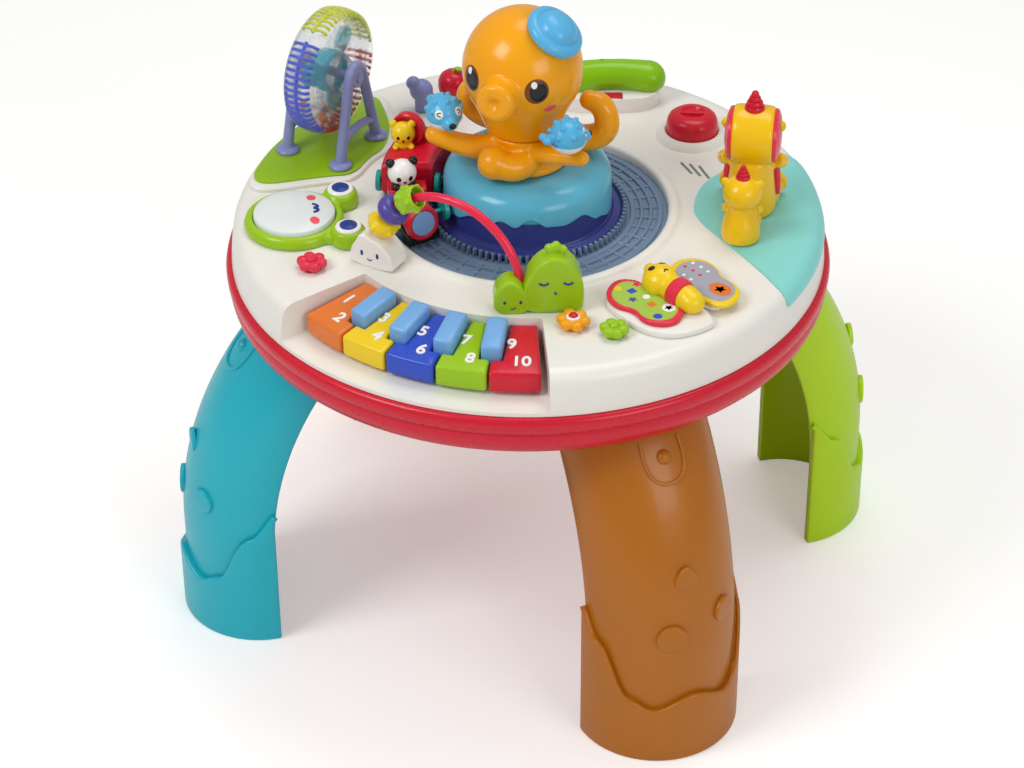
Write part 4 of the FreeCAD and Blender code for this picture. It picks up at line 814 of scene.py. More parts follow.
add("drive_pinion", gather(*cogs), "slate", "pinion", swaps="pinion")

panda_at = polar(TRACK + 3, -151.5)
toward = math.degrees(math.atan2(-0.62, 0.5))
place = seat(panda_at, toward)
face = melded(gather(bump(10, (0, 0, 62), (0.96, 1, 0.95)), bump(6.5, (0, 0, 54.5))), 0.7, 3)
face.transform(place)
face = add("panda_head", face, "white", "train", swaps="panda_figure")
ears = gather(bump(3.3, (-1, 8, 69.6)), bump(3.3, (-1, -8, 69.6)), bump(3.4, (5, 5.6, 54.4), (1.3, 1, 1)),
              bump(3.4, (5, -5.6, 54.4), (1.3, 1, 1)))
ears.transform(place)
add("panda_ears", ears, "black", "train")
surface = skin(face)
turn = Matrix.Rotation(math.radians(toward), 4, "Z")
for side in (-1, 1):
    out = turn @ Vector((0.88, side * 0.42, -0.02))
    spot = place @ Vector((8.6, side * 4.2, 61.4))
    printed("panda_eye_%d" % (side + 1), surface, spot, out, oval(3.4, 3.8), "black", "train")
    printed("panda_cheek_%d" % (side + 1), surface, place @ Vector((8.4, side * 5, 57.8)), out, oval(2.6, 1.6),
            "pink", "train")
drawn("panda_nose", surface, place @ Vector((10, 0, 59)), turn @ Vector((1, 0, -0.1)),
      [[(-1, 0.6), (0, 0), (1, 0.6)], [(0, 0), (0, -1)]], "black", "train", 0.5)

place = seat(polar(TRACK + 8, -174.5), -62)
face = melded(gather(bump(8.6, (0, 0, 72), (0.95, 1, 0.96)), bump(2.9, (-1, 6.6, 79)), bump(2.9, (-1, -6.6, 79)),
                     bump(6.4, (0, 0, 65)), bump(2.2, (5.4, 5.4, 64.2), (1.5, 1, 0.9)),
                     bump(2.2, (5.4, -5.4, 64.2), (1.5, 1, 0.9))), 0.6, 3)
face.transform(place)
face = add("lion_head", face, "yellow", "train", swaps="lion_figure")
surface = skin(face)
turn = Matrix.Rotation(math.radians(-62), 4, "Z")
for side in (-1, 1):
    out = turn @ Vector((0.9, side * 0.4, 0.05))
    printed("lion_eye_%d" % (side + 1), surface, place @ Vector((7.4, side * 3.6, 72)), out, oval(2.4, 2.8),
            "black", "train")
    printed("lion_cheek_%d" % (side + 1), surface, place @ Vector((7.2, side * 4.8, 68.8)), out, oval(2.2, 1.5),
            "pink", "train")
drawn("lion_nose", surface, place @ Vector((8.2, 0, 69.8)), turn @ Vector((1, 0, 0)),
      [[(-0.8, 0.6), (0, 0), (0.8, 0.6)], [(0, 0), (0, -1.2)]], "ink", "train", 0.5)

# ---- drum wheel: clear drum, three combs, blades and two tube frames ----
DRUM = polar(159, 174.9, 94)
AXLE = Vector(polar(1, 174.9))
wheel = facing(DRUM, AXLE)
shell_profile = [(12, -12), (36.4, -12), (38, -11.8), (41.4, -10.4), (43.4, -9), (44.3, -6.5), (44.9, -1), (45, 0),
                 (44.9, 1), (44.3, 6.5), (43.4, 9), (41.4, 10.4), (38, 11.8), (36.4, 12), (12, 12)]
inner_profile = [(x - 1.9 if x > 40 else x - 1.2 if x > 37 else x, z * 0.86) for x, z in shell_profile[::-1]]
drum = gather(lathe(shell_profile + inner_profile + [shell_profile[0]], 128, matrix=wheel),
              lathe([(3.2, -18), (6.8, -16), (8.6, -13.6), (12, -12.2), (12, -10.6), (13, -10.4), (13, 10.4),
                     (12, 10.6), (12, 12.2), (8.6, 13.6), (6.8, 16), (3.2, 18), (3.2, -18)], 64, matrix=wheel),
              lathe([(20.4, 12), (21.4, 13), (22.4, 12)], 96, matrix=wheel),
              lathe([(31.4, 12), (32.4, 13), (33.4, 12)], 96, matrix=wheel),
              ball(9.4, wheel, (1, 1, 0.9)))
add("drum_case", drum, "clear", "drum", swaps="drum_shell")
add("drum_axle", lathe([(0, -26), (2.4, -26), (3, -25.4), (3, 25.4), (2.4, 26), (0, 26)], 32, matrix=wheel),
    "lavender", "drum")


def comb(start, fingers, pitch, radius=42.3):
    """A spine round the drum's rim with fingers across it."""
    shapes = [tube([wheel @ Vector((radius * math.cos(a), radius * math.sin(a), 0)) for a in
                    [math.radians(start + pitch * (i - 0.5)) for i in range(fingers + 1)]], 1.3, fine=8)]
    for number in range(fingers):
        a = math.radians(start + pitch * number)
        points = [(radius - 2.6, -9.4), (radius, -7.6), (radius + 0.2, 0), (radius, 7.6), (radius - 2.6, 9.4)]
        shapes.append(tube([wheel @ Vector((r * math.cos(a), r * math.sin(a), z)) for r, z in points], 1.15, fine=8))
    return gather(*shapes)


def rim_angle(world_degrees):
    """Angle round the drum in its own frame for a clock position, 0 level towards -Y and 90 up."""
    aim = Vector((0, -math.cos(math.radians(world_degrees)), math.sin(math.radians(world_degrees))))
    local = wheel.inverted().to_3x3() @ aim
    return math.degrees(math.atan2(local.y, local.x))


turn_way = 1 if (rim_angle(10) - rim_angle(0)) % 360 < 180 else -1
add("comb_blue", comb(rim_angle(-52), 17, turn_way * 6.4), "comb_blue", "drum", swaps="comb_bands")
add("comb_yellow", comb(rim_angle(68), 17, turn_way * 6.4), "comb_lime", "drum")
add("comb_red", comb(rim_angle(188), 17, turn_way * 6.4), "red", "drum")
blades = [lathe([(13.2, -6), (15, -6), (15, 6), (13.2, 6), (13.2, -6)], 64, matrix=wheel)]
for number in range(3):
    points = rounded([(14, -4), (20, -8.5), (29, -9), (34, -4), (34, 4), (29, 9), (20, 8.5), (14, 4)])
    turn = wheel @ Matrix.Rotation(math.radians(rim_angle(20) + 120 * number), 4, "Z")
    blade = slab(points, -1.5, 1.5, 0.7, 2, turn)
    blades.append(blade)
    for way in (-1, 1):
        blades.append(ball(4.6, turn @ Matrix.Translation((25, way * 1.4, 0)), (1.3, 0.5, 1)))
add("drum_blades", gather(*blades), "blade", "drum", swaps="paddles")
beads = []
for number, (a, r, z, size) in enumerate(((200, 34, 4, 2.8), (230, 33, -4, 3.2), (250, 35, 2, 2.6), (290, 34, -3, 3),
                                          (310, 33.5, 4, 2.7), (270, 28, 5, 3))):
    a = math.radians(a)
    beads.append(ball(size, Matrix.Translation(DRUM + Vector((0, r * math.cos(a), r * math.sin(a))) + AXLE * z)))
add("drum_beads", gather(*beads), "orange", "drum")
for side, word in ((-1, "inner"), (1, "outer")):
    foot = polar(159 + side * 22, 174.9)
    across = Vector((-AXLE.y, AXLE.x, 0))

    def up(y, z):
        return Vector((foot.x, foot.y, 0)) + across * y + Vector((0, 0, z))

    legs = [tube([up(-23.5, 34), up(-22.5, 40), up(-17, 62), up(-10.2, 88), up(-8.4, 95), up(-5.2, 100.4),
                  up(0, 102.6), up(5.2, 100.4), up(8.4, 95), up(10.2, 88), up(17, 62), up(22.5, 40), up(23.5, 34)],
                 3.7, (1.15, 1.1, 1, 1, 1, 1, 1, 1, 1, 1, 1, 1.1, 1.15), fine=14),
            tube([up(-20, 51), up(-10, 54), up(0, 55), up(10, 54), up(20, 51)], 2.9, fine=12),
            lathe([(3.3, -3), (6.6, -3), (7, 0), (6.6, 3), (3.3, 3), (3.3, -3)], 40, matrix=facing(up(0, 94), AXLE))]
    for way in (-23.5, 23.5):
        legs.append(lathe([(0, 34.5), (7.8, 34.5), (8.2, 35), (8.2, 36.4), (7.2, 37.6), (4.6, 38.6), (0, 38.8)], 40,
                          matrix=Matrix.Translation(Vector((foot.x, foot.y, 0)) + across * way)))
    add("drum_frame_" + word, gather(*legs), "lavender",
        swaps="drum_stands" if side > 0 else ())

# ---- frog: raised rim with eye lobes, and the sprung pad ----
FROG = polar(160.3, -147.8)
rim = [lathe([(0, 30.2), (33.8, 30.2), (34.4, 31), (34.4, 34), (33.2, 36.8), (31.2, 38.4), (29.6, 38.7),
              (28.6, 38.2), (28.3, 36), (28.3, 33.6), (0, 33.6)], 96, matrix=Matrix.Translation(FROG))]
for number, (station, bearing, lean) in enumerate(((128.8, -158, 3.5), (128.2, -136.1, -3.5))):
    rim.append(lathe([(0, 30.2), (12.4, 30.2), (12.6, 34), (11.9, 38), (10.9, 40.2), (9.6, 41.2), (0, 41.4)], 56,
                     matrix=Matrix.Translation(polar(station, bearing))))
    rim.append(lathe([(0, 30.2), (10, 30.2), (9.4, 36), (0, 36.6)], 48,
                     matrix=Matrix.Translation(polar(station + 10, bearing + lean))))
rim = melded(gather(*rim), 0.9, 4)
rim = carve(rim, lathe([(0, 34), (28.3, 34), (28.3, 60), (0, 60)], 96, matrix=Matrix.Translation(FROG)))
add("frog_rim", rim, "lime", swaps="frog_body")
for number, (station, bearing) in enumerate(((128.8, -158), (128.2, -136.1))):
    spot = polar(station, bearing)
    add("frog_eye_%d" % number, lathe([(0, 40.8), (8.9, 40.8), (8.9, 42), (8.3, 42.7), (0, 43.2)], 48,
                                      matrix=Matrix.Translation(spot)), "white")
    add("frog_pupil_%d" % number, lathe([(0, 42.6), (5.9, 42.6), (5.9, 43.5), (5.4, 43.9), (0, 44.3)], 40,
                                        matrix=Matrix.Translation(spot)), "print_navy")
pad = lathe([(0, 36.6), (27.9, 36.6), (27.9, 39.6), (27.3, 40.7), (25.4, 41.6), (21, 42.5), (14, 43.3), (7, 43.7),
             (0, 43.8)], 96, matrix=Matrix.Translation(FROG))
pad = add("frog_belly", pad, "pad", "frog_pad", swaps="frog_pad")
surface = skin(pad)
up_way = Vector((0, 0, 1))
for number, bearing in enumerate((-152.6, -141.6)):
    printed("frog_cheek_%d" % number, surface, polar(148.2, bearing, 43), up_way, oval(6.4, 8), "pink", "frog_pad",
            roll=bearing)
MOUTH = [(-5.2, -1.8), (-3.6, 0.9), (-1.8, 1.5), (0, -0.9), (1.8, 1.5), (3.6, 0.9), (5.2, -1.8)]
drawn("frog_mouth", surface, polar(145.6, -147.1, 43), up_way, [MOUTH], "print_navy", "frog_pad", 0.95,
      roll=-147.1 + 90 + 180)

# ---- flower buttons ----
for colour, finish, station, bearing, reach in (("red", "coral", 162.6, -127.8, 6.4),
                                                ("orange", "amber", 148.4, -54.2, 7.2),
                                                ("green", "lime", 165, -45.9, 5.8)):
    petals = [lathe([(0, 32.6), (reach, 32.6), (reach, 36.4), (0, 37.4)], 40)]
    for number in range(6):
        a = math.radians(60 * number + 12)
        petals.append(lathe([(0, 32.5), (3.3, 32.5), (3.9, 33.6), (3.9, 36), (3.3, 37.2), (2, 37.9), (0, 38.1)], 32,
                            matrix=Matrix.Translation((reach * 1.02 * math.cos(a), reach * 1.02 * math.sin(a), 0))))
    petals.append(lathe([(0, 27), (5.8, 27), (5.8, 33), (0, 33)], 40))
    flower = melded(gather(*petals), 0.5, 3)
    flower.transform(Matrix.Translation(polar(station, bearing)))
    add("flower_%s_petals" % colour, flower, finish, "flower_" + colour, swaps="flower_" + colour)
    heart = [(0, 36), (3.3, 36), (3.2, 37.9), (2.4, 38.9), (0, 39.5)]
    if colour == "orange":
        add("flower_orange_ring", lathe([(0, 36), (4.6, 36), (4.6, 38), (4, 38.5), (0, 38.6)], 40,
                                        matrix=Matrix.Translation(polar(station, bearing))), "white",
            "flower_orange")
        heart = [(0, 37), (3.3, 37), (3.2, 38.9), (2.4, 39.7), (0, 40.2)]
    add("flower_%s_heart" % colour, lathe(heart, 32, matrix=Matrix.Translation(polar(station, bearing))),
        {"red": "coral", "orange": "red", "green": "lime"}[colour], "flower_" + colour)

# ---- book shaped like a butterfly: base, left page, bear and the page that turns ----
BOOK = seat(polar(155, -27), -27)
LEFT = [(-31.7, -35.1), (-40.2, -17.8), (-28.4, -6.5), (-18.3, -10.6), (-3.7, -7.9), (13.6, -3.1), (24.2, -17.5),
        (20.8, -29), (9.3, -36.1), (-4, -32.4), (-15.8, -39.2)]
RIGHT = [(-20, 9.6), (-31.2, 23.6), (-28.2, 36.4), (-19.9, 42.6), (-7.5, 43), (3.2, 37.4), (16.8, 39.2),
         (28.7, 31.2), (31.4, 16.9), (23.1, 9.6)]


def shrunk(points, share, shift=(0, 0)):
    """An outline drawn in towards its middle."""
    cx = sum(p[0] for p in points) / len(points)
    cy = sum(p[1] for p in points) / len(points)
    return [(cx + (x - cx) * share + shift[0], cy + (y - cy) * share + shift[1]) for x, y in points]


plinth = [(-33, -36), (-38, -18), (-30, -4), (-30, 9), (36, 9), (37, -10), (30, -30), (12, -40), (-14, -41)]
add("book_foot", gather(slab(rounded(shrunk(plinth, 0.98)), 30, 34.6, 1.2, 3, BOOK),
                        slab(rounded([(-20, 9), (24, 9), (24, 25), (-20, 21)]), 31.6, 34.8, 0.8, 2, BOOK)), "ivory",
    swaps="book_base")
add("left_wing", slab(rounded(LEFT), 34.3, 38.2, 1.1, 3, BOOK), "coral")
leaf_face = add("left_wing_face", slab(rounded(shrunk(LEFT, 0.86)), 37.6, 38.5, 0.3, 1, BOOK), "page_green")
surface = skin(leaf_face)


def mark(name, surface, x, y, level, points, finish, body="table"):
    spot = BOOK @ Vector((x, y, level))
    printed(name, surface, spot, (0, 0, 1), points, finish, body, roll=-27, lift=0.15)


def star(size, tips=5, dip=0.5):
    return [((size if i % 2 == 0 else size * dip) * math.cos(math.pi * i / tips),
             (size if i % 2 == 0 else size * dip) * math.sin(math.pi * i / tips)) for i in range(2 * tips)]


box = [(-2.6, -2.6), (2.6, -2.6), (2.6, 2.6), (-2.6, 2.6)]
for number, (x, y, shape, finish) in enumerate((
        (-29, -25, oval(5.4, 5.4), "yellow"), (-21, -20, box, "blue"), (-25, -12.5, star(3.4), "coral"),
        (-13, -26, star(3.4), "purple"), (-10, -17, oval(5, 5), "white"), (-1, -20, box, "orange"),
        (9, -14, oval(9, 9), "white"), (9, -14, star(3.4), "yellow"), (12, -26, oval(6, 6), "blue"))):
    mark("left_mark_%d" % number, surface, x, y, 38.6 + 0.3 * (number == 7), shape, finish)
wing = slab(rounded(RIGHT), 35.6, 38.4, 1.0, 3, BOOK)
add("right_wing", wing, "yellow", "book_wing", swaps="book_wing")
right_face = add("right_wing_face", slab(rounded(shrunk(RIGHT, 0.85)), 37.6, 38.7, 0.3, 1, BOOK), "page_grey",
                 "book_wing")
surface = skin(right_face)
for number, (x, y, shape, finish) in enumerate((
        (-21, 33, oval(2.6, 2.6), "white"), (-14, 34, oval(2.6, 2.6), "white"), (-7, 34, oval(2.6, 2.6), "white"),
        (-21, 26, oval(2.6, 2.6), "coral"), (-14, 27, oval(2.6, 2.6), "coral"), (-7, 27, oval(2.6, 2.6), "coral"),
        (-14, 19, oval(2.6, 2.6), "white"), (-7, 19, oval(2.6, 2.6), "white"), (14, 26, oval(17, 13), "orange"),
        (14, 26, star(4.6), "cream"))):
    mark("right_mark_%d" % number, surface, x, y, 38.9 + 0.3 * (number == 9), shape, finish, "book_wing")
PAGE_SIDE = 4.0
PAGE_ROOM = 4.2


def beside_page(mesh):
    """Draw in the side next to the page, so that the page stands clear of it when it turns."""
    back = BOOK.inverted()
    for vert in mesh.verts:
        spot = back @ vert.co
        if spot.y > PAGE_SIDE:
            spot.y = PAGE_SIDE + PAGE_ROOM * (1 - math.exp((PAGE_SIDE - spot.y) / PAGE_ROOM))
            vert.co = BOOK @ spot


bear = gather(bump(13.2, (-14.5, 0, 41.6), (1, 1, 0.86)), bump(4.9, (-30, 4, 40.5)), bump(4.9, (-21, 12.2, 44)),
              tube([Vector((-6, 0, 41)), Vector((6, 0, 41)), Vector((14, 0, 40.6))], 9.4, (1, 1, 0.95), fine=18),
              bump(9, (15.5, 0, 40.6), (1, 1, 0.9)))
bear = melded(bear, 0.8, 4)
for vert in bear.verts:
    vert.co.z = max(vert.co.z, 34.9)
bear.transform(BOOK)
beside_page(bear)
bear = add("bear_body", bear, "yellow", swaps="bear_figure")
belt = lathe([(8, -5), (10, -5), (10.8, -4), (11, 0), (10.8, 4), (10, 5), (8, 5), (8, -5)], 64,
             matrix=BOOK @ facing(Vector((4.6, 0, 40.6)), (1, 0, 0)))
belt = carve(belt, slab([(100, -200), (250, -200), (250, 40), (100, 40)], 0, 34.6))
beside_page(belt)
add("bear_belt", belt, "coral")
surface = skin(bear)
turn = BOOK.to_3x3()
for number, y in enumerate((-5.4, 4.4)):
    spot = BOOK @ Vector((-19.5, y, 52))
    printed("bear_eye_%d" % number, surface, spot, turn @ Vector((-0.4, 0.05 * y, 0.9)), oval(4.6, 5.6), "ink",
            roll=-27)
drawn("bear_mouth", surface, BOOK @ Vector((-11, -0.5, 52.6)), turn @ Vector((0, 0, 1)),
      [[(-1.4, 1.4), (0, 0), (-1.4, -1.4)]], "ink", width=0.5, roll=-27)

# ---- bead arch: two posts, the rod and three beads ----
ARCH = Vector((-8, -107.6, 41))
YAW = -4.7
arch = seat(ARCH, YAW)


def bow(along, reach=54.0):
    """A point on the rod's bow, by its angle up from the cloud's end."""
    a = math.radians(along)
    return arch @ Vector((-reach * math.cos(a), 0, reach * math.sin(a)))


rod = [bow(0) - Vector((0, 0, 9))] + [bow(a) for a in range(0, 181, 9)] + [bow(180) - Vector((0, 0, 9))]
add("arch_bow", tube(rod, 3, fine=16), "rod", swaps="arch_rod")
CLOUD = [(-16, 0), (-17, 6), (-15.5, 13), (-12, 18), (-10, 23), (-6, 25), (-1.5, 22.3), (6, 21), (11, 17),
         (15.5, 12), (17, 6), (16, 0)]
SMALL_HILL = [(-29, 0), (-30, 12), (-27, 20), (-20, 25.5), (-13, 23), (-7, 14), (-5, 0)]
HILL = [(-12, 0), (-11, 14), (-8.5, 25), (-3, 34), (4, 40), (11, 42), (19, 39), (25, 32), (29, 22), (29.5, 10),
        (28.5, 0)]


def standing(points, place, depth, bevel):
    """An outline stood upright on the deck and given depth."""
    turn = place @ Matrix.Rotation(math.radians(90), 4, "X")
    return slab(rounded(points, 1), -depth, depth, bevel, 5, turn)


spot = seat(polar(121, -121.2, 30.1), YAW)
cloud = melded(gather(standing(CLOUD, spot, 9.4, 4.2)), 0.8, 3)
cloud = add("cloud_body", cloud, "post_white", swaps="cloud_post")
surface = skin(cloud)
out = spot.to_3x3() @ Vector((0, -1, 0.05))
for number, x in enumerate((-7, 5)):
    printed("cloud_eye_%d" % number, surface, spot @ Vector((x, -9, 10.5 + 0.3 * number)), out, oval(2.2, 4.2), "print_navy")
drawn("cloud_mouth", surface, spot @ Vector((-1, -9, 6.4)), out, [[(-1.8, 0.6), (0, -0.4), (1.8, 0.6)]], "print_navy",
      width=0.4)
spot = seat(polar(122, -62.4, 30.1), -62.4 + 90)
hills = gather(standing(HILL, spot, 9.4, 4.6))
sprout = [bump(3.6, spot @ Vector((7.5, 0, 44.2)), (1.1, 0.8, 1)), bump(3.9, spot @ Vector((11.5, 0, 45.4)), (0.9, 0.8, 1.1)),
          bump(3.4, spot @ Vector((15.5, 0, 43.6)), (1.1, 0.8, 0.9))]
bush = melded(gather(hills, *sprout), 0.8, 3)
small = melded(gather(standing(SMALL_HILL, spot @ Matrix.Translation((0, -1.6, 0)), 8, 4.4)), 0.8, 3)
bush = add("bush_hill", bush, "lime", swaps="bush_post")
small = add("bush_small_hill", small, "lime")
surface = skin(bush)
out = spot.to_3x3() @ Vector((0, -1, 0.05))
for number, x in enumerate((3, 19)):
    drawn("bush_eye_%d" % number, surface, spot @ Vector((x, -9, 22.5)), out,
          [[(-3, 1.2), (-1.4, 0), (1.4, 0), (3, 1.2)]], "print_navy", width=0.75)
drawn("bush_mouth", surface, spot @ Vector((10.5, -9, 15.5)), out, [[(-0.6, 0.9), (0.6, 0), (-0.4, -0.9)]],
      "print_navy", width=0.5)
surface = skin(small)
for number, x in enumerate((-22.5, -12)):
    printed("hill_eye_%d" % number, surface, spot @ Vector((x, -9, 9.5)), out, oval(1.9, 2.6), "print_navy")
drawn("hill_mouth", surface, spot @ Vector((-17, -9, 4.8)), out, [[(-1.6, -0.4), (0.4, -0.2), (1.6, 0.8)]], "print_navy",
      width=0.45)

BEADS = (("yellow", 22, 10.4, "yellow"), ("purple", 38.6, 10.7, "purple"), ("green", 57.6, 9.7, "lime"))
for colour, along, radius, finish in BEADS:
    a = math.radians(along)
    tangent = arch.to_3x3() @ Vector((math.sin(a), 0, math.cos(a)))
    place = facing(bow(along), tangent)
    if colour == "yellow":
        profile = [(3.7, -6.3), (6.4, -6.1), (8.6, -4.8), (10, -2.4), (10.4, 0), (10, 2.4), (8.6, 4.8), (6.4, 6.1),
                   (3.7, 6.3), (3.7, -6.3)]
        shapes = [lathe(profile, 64)]
        for number in range(5):
            b = math.radians(72 * number + 20)
            shapes.append(bump(2.6, (9.4 * math.cos(b), 9.4 * math.sin(b), 0), (1, 1, 0.9)))
    elif colour == "purple":
        profile = [(3.7, -6.3), (5.6, -6.4), (8.6, -5.2), (10.4, -2.8), (10.8, -0.7), (10.3, -0.25), (10.3, 0.25),
                   (10.8, 0.7), (10.4, 2.8), (8.6, 5.2), (5.6, 6.4), (3.7, 6.3), (3.7, -6.3)]
        shapes = [lathe(profile, 80)]
    else:
        profile = [(3.8, -7.6), (6.9, -7.8), (7.7, -7.4), (8.5, -5), (8.9, 0), (8.5, 5), (7.9, 7.5), (7.2, 7.8),
                   (6.4, 7.2), (5.6, 2), (3.8, 1), (3.8, -7.6)]
        shapes = [lathe(profile, 72)]
        for number in range(5):
            for level in (-3.6, 3.8):
                b = math.radians(72 * number + (30 if level > 0 else -6))
                shapes.append(lathe([(0, 0), (2.3, 0), (1.9, 1.6), (1.2, 2.2), (0, 2.4)], 20, matrix=facing(
                    Vector((8.2 * math.cos(b), 8.2 * math.sin(b), level)), (math.cos(b), math.sin(b), 0))))
    bead = gather(*shapes)
    if colour != "purple":
        bead = melded(bead, 0.55, 3)
    bead.transform(place)
    add("arch_bead_" + colour, bead, finish, "bead_" + colour, swaps="bead_" + colour)

# ---- phone handset, and the two fruits at the back ----
hand = tube([Vector((-25, 0, -1.5)), Vector((-12, 0, 0.8)), Vector((0, 0, 1.6)), Vector((12, 0, 0.8)),
             Vector((25, 0, -1.5))], 12.2, (1.02, 0.93, 0.9, 0.94, 1.05), fine=24)
hand = gather(hand, bump(12.4, (-25, 0, -1.5), (1, 1, 1)), bump(12.8, (25, 0, -1.5), (1, 1, 1)))
hand = melded(hand, 0.9, 5)
for vert in hand.verts:
    vert.co.z = max(vert.co.z, -7.0)
hand = carve(hand, lathe([(0, 6), (1.5, 6), (1.9, 20), (0, 20)], 24, matrix=Matrix.Translation((-9, 3, 0))))
hand.transform(seat(Vector((-4, 160, 49.3)), 24.3))
add("phone_handset", hand, "phone", "handset", swaps="handset")
spot = polar(152.5, 144.5)
grape = melded(gather(bump(8.6, (0, 0, 47), (1, 1, 0.95)), bump(5.2, (-4.6, -3.4, 53.4)), bump(5, (4, 3.4, 40)),
                      tube([Vector((0, 0, 30.4)), Vector((0, 0, 42))], 5), bump(3, (-9, 0, 50))), 0.7, 4)
grape.transform(Matrix.Translation(spot))
add("rear_knob_lilac", grape, "lavender", "grape_knob", swaps="grape_knob")
spot = polar(151.5, 135.2)
apple = lathe([(0, 30.4), (5.6, 30.4), (5.2, 34.6), (7.6, 37), (9.8, 40.4), (10.9, 45), (10.6, 50), (8.8, 54),
               (5.8, 56.4), (2.8, 56.8), (0.8, 55.6), (0, 55.2)], 64, matrix=Matrix.Translation(spot))
add("rear_knob_apple", apple, "red", "apple_knob", swaps="apple_knob")
add("apple_leaf", gather(tube([spot + Vector((0, 0, 54.6)), spot + Vector((1, 0, 58)), spot + Vector((2.6, 0, 60))], 0.9),
                         bump(3.2, spot + Vector((4.6, 0.6, 59.6)), (1.2, 0.7, 0.4))), "lime", "apple_knob")


# ---- the parent and the baby on the teal leaf ----
def swirl(size):
    """A piped tuft of three coils and a tip."""
    rings = [lathe([(0, z), (r - 0.4 * size, z), (r, z + 1.2 * size), (r - 0.1 * size, z + 2.4 * size),
                    (r - 0.8 * size, z + 3.5 * size), (0, z + 3.8 * size)], 40)
             for r, z in ((6.9 * size, 0), (5.6 * size, 3.3 * size), (4.1 * size, 6.5 * size))]
    rings.append(bump(2.7 * size, (0, 0, 10.9 * size), (1, 1, 1.25)))
    return gather(*rings)


FACE = 106
place = seat(polar(152.5, 23.2, 31.7), FACE)
parts = [lathe([(0, 0), (17, 0), (18.4, 1.6), (18.6, 6), (17.6, 16), (16.2, 28), (15, 40), (0, 44)], 72,
               matrix=Matrix.Scale(0.94, 4, (0, 1, 0))),
         lathe([(0, -14.6), (17, -14.6), (19.6, -13), (20.2, -9), (20.4, 0), (20.2, 9), (19.6, 13), (17, 14.6),
                (0, 14.6)], 96, matrix=facing(Vector((0, 0, 58)), (0, 1, 0))),
         bump(10.6, (17, 0, 48), (1.1, 1.15, 0.8)), bump(8.6, (15, 0, 41), (1, 1.05, 0.7))]
for side in (-1, 1):
    parts += [tube([Vector((2, side * 15.6, 38)), Vector((11, side * 19.5, 32)), Vector((20, side * 14, 29))], 5,
                   (1.1, 1, 0.9), fine=14), bump(4.8, (20, side * 14, 29)),
              tube([Vector((4, side * 12, 6.6)), Vector((20, side * 14, 6.6))], 7, (1, 1), fine=14),
              lathe([(0, 0), (8.2, 0), (9, 1.4), (9, 4), (8.2, 5.4), (0, 5.4)], 40,
                    matrix=facing(Vector((18.4, side * 14.2, 8.8)), (1, side * 0.12, 0.1))),
              bump(4.4, (-1, side * 17.6, 66), (0.8, 1, 1))]
parent = melded(gather(*parts), 0.95, 4)
for vert in parent.verts:
    vert.co.z = max(vert.co.z, 0.0)
parent.transform(place)
parent = add("parent_body", parent, "honey", swaps="parent_animal")
for side, word in ((-1, "left"), (1, "right")):
    panel_face = lathe([(0, -1), (17.6, -1), (18.6, 0.4), (17.8, 2.4), (14, 4), (8, 5), (0, 5.4)], 72,
                       matrix=place @ facing(Vector((0, side * 14, 58)), (0, side, 0)))
    add("parent_side_" + word, panel_face, "coral", "table")
    stripe = tube([place @ Vector((x, side * y, z)) for x, y, z in
                   ((3, 15.4, 37), (4.5, 16.4, 30), (5, 17.2, 20), (5, 17.2, 10))], 2.6, fine=10)
    add("parent_stripe_" + word, stripe, "coral")
tuft = swirl(1.0)
tuft.transform(place @ Matrix.Translation((0, 0, 77.2)))
add("parent_tuft", tuft, "red")
for side in (-1, 1):
    eye = bump(6.4, (15.2, side * 9.6, 63.4), (0.8, 0.9, 1))
    eye.transform(place)
    eye = add("parent_eye_%d" % (side + 1), eye, "white")
    printed("parent_pupil_%d" % (side + 1), skin(eye), place @ Vector((19.8, side * 10.4, 62.4)),
            place.to_3x3() @ Vector((1, side * 0.15, -0.1)), oval(3.4, 4), "black")
place = seat(polar(149.5, 8.2, 31.7), FACE)
parts = [lathe([(0, 0), (12, 0), (13.2, 1.4), (13.4, 6), (12.4, 12), (9.8, 18), (8.4, 22), (8.4, 26), (0, 27)], 64),
         bump(13.4, (0, 0, 35.6), (1, 1, 0.9)), bump(6.2, (11.4, 0, 31.6), (1, 1.1, 0.8))]
for side in (-1, 1):
    parts += [bump(3.1, (0, side * 11.6, 43), (0.8, 1, 1)),
              tube([Vector((2, side * 7.4, 4.6)), Vector((12.6, side * 8, 4.6))], 4.8, fine=12),
              bump(5.6, (13.4, side * 7, 6), (0.7, 1.1, 1.05)),
              tube([Vector((1, side * 9.6, 22)), Vector((8, side * 11, 18)), Vector((12, side * 7.4, 16))], 3,
                   fine=12)]
baby = melded(gather(*parts), 0.75, 3)
for vert in baby.verts:
    vert.co.z = max(vert.co.z, 0.0)
baby.transform(place)
baby = add("baby_body", baby, "honey", swaps="baby_animal")
tuft = swirl(0.72)
tuft.transform(place @ Matrix.Translation((0, 0, 46.6)))
add("baby_tuft", tuft, "red")
surface = skin(baby)
for side in (-1, 1):
    printed("baby_eye_%d" % (side + 1), surface, place @ Vector((11, side * 5.6, 38.4)),
            place.to_3x3() @ Vector((1, side * 0.45, 0.15)), oval(2.8, 3.4), "black")

# ---- what the table holds inside, and its battery door ----
for name, finish in (("sound_unit", "board"), ("battery_door", "red")):
    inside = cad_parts[name]
    inside.data.materials.clear()
    inside.data.materials.append(FINISH[finish])

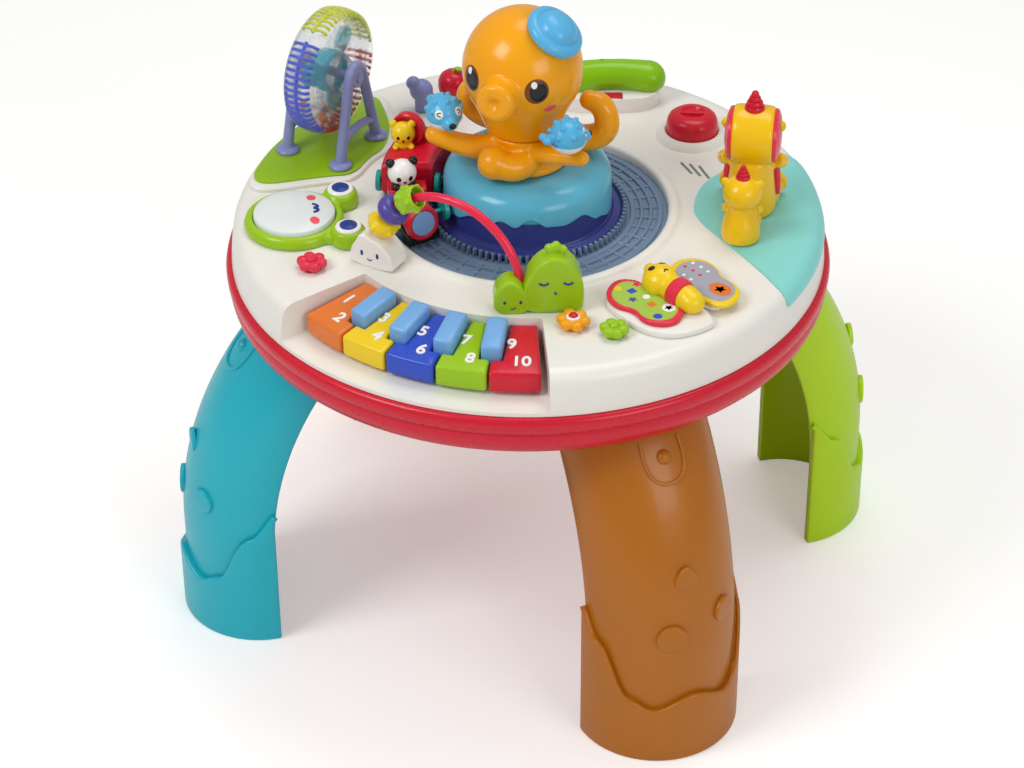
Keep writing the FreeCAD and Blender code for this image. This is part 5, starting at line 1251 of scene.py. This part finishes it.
# ---- floor, light and camera ----
floor_data = bpy.data.meshes.new("floor")
floor_mesh = bmesh.new()
bmesh.ops.create_grid(floor_mesh, x_segments=2, y_segments=2, size=6.0)
floor_mesh.to_mesh(floor_data)
floor_mesh.free()
floor = bpy.data.objects.new("floor", floor_data)
bpy.context.scene.collection.objects.link(floor)
pale = bpy.data.materials.new("pale_studio_paper")
pale.use_nodes = True
tree = pale.node_tree
path = node(tree, "ShaderNodeLightPath")
seen = node(tree, "ShaderNodeMath", {"operation": "MAXIMUM"})
tree.links.new(path.outputs["Is Camera Ray"], seen.inputs[0])
tree.links.new(path.outputs["Is Transmission Ray"], seen.inputs[1])
glow = node(tree, "ShaderNodeEmission", {"Color": (1, 1, 1, 1), "Strength": 0.28})
paper = tree.nodes["Principled BSDF"]
paper.inputs["Base Color"].default_value = linear("#F4F4F2")
paper.inputs["Roughness"].default_value = 0.7
dark = node(tree, "ShaderNodeEmission", {"Color": (0, 0, 0, 1), "Strength": 0.0})
lit = node(tree, "ShaderNodeMixShader", {}, {"Fac": seen.outputs["Value"]})
tree.links.new(dark.outputs["Emission"], lit.inputs[1])
tree.links.new(glow.outputs["Emission"], lit.inputs[2])
both = node(tree, "ShaderNodeAddShader")
tree.links.new(paper.outputs["BSDF"], both.inputs[0])
tree.links.new(lit.outputs["Shader"], both.inputs[1])
tree.links.new(both.outputs["Shader"], tree.nodes["Material Output"].inputs["Surface"])
floor_data.materials.append(pale)

world = bpy.data.worlds.new("studio")
bpy.context.scene.world = world
world.use_nodes = True
tree = world.node_tree
path = node(tree, "ShaderNodeLightPath")
ground = tree.nodes["Background"]
ground.inputs["Color"].default_value = (1, 1, 1, 1)
strength = node(tree, "ShaderNodeMapRange", {"To Min": 0.42, "To Max": 1.0},
                {"Value": path.outputs["Is Camera Ray"]})
tree.links.new(strength.outputs["Result"], ground.inputs["Strength"])


def softbox(name, spot, aim, size, power):
    """A soft studio lamp."""
    lamp = bpy.data.lights.new(name, "AREA")
    lamp.shape = "RECTANGLE"
    lamp.size, lamp.size_y = size
    lamp.energy = power
    holder = bpy.data.objects.new(name, lamp)
    bpy.context.scene.collection.objects.link(holder)
    holder.location = spot
    holder.rotation_euler = (Vector(aim) - Vector(spot)).to_track_quat("-Z", "Y").to_euler()


softbox("key_light", (-0.9, -1.3, 1.9), (0, 0, 0.25), (0.9, 0.9), 19)
softbox("fill_light", (1.7, -0.9, 1.1), (0, 0, 0.2), (1.0, 0.8), 9)
softbox("top_light", (0.1, 0.5, 2.0), (0, 0, 0.3), (1.2, 0.8), 9.5)

camera = bpy.data.cameras.new("camera")
camera.lens = 105.5
camera.sensor_width = 36.0
eye = bpy.data.objects.new("camera", camera)
bpy.context.scene.collection.objects.link(eye)
look = Vector((-0.3419, 0.7399, -0.5794))
eye.location = (0.7242, -1.5949, 1.3910)
turn = look.to_track_quat("-Z", "Y").to_matrix().to_4x4() @ Matrix.Rotation(math.radians(-0.38), 4, "Z")
eye.rotation_euler = turn.to_euler()
bpy.context.scene.camera = eye
bpy.context.scene.view_settings.view_transform = "Standard"
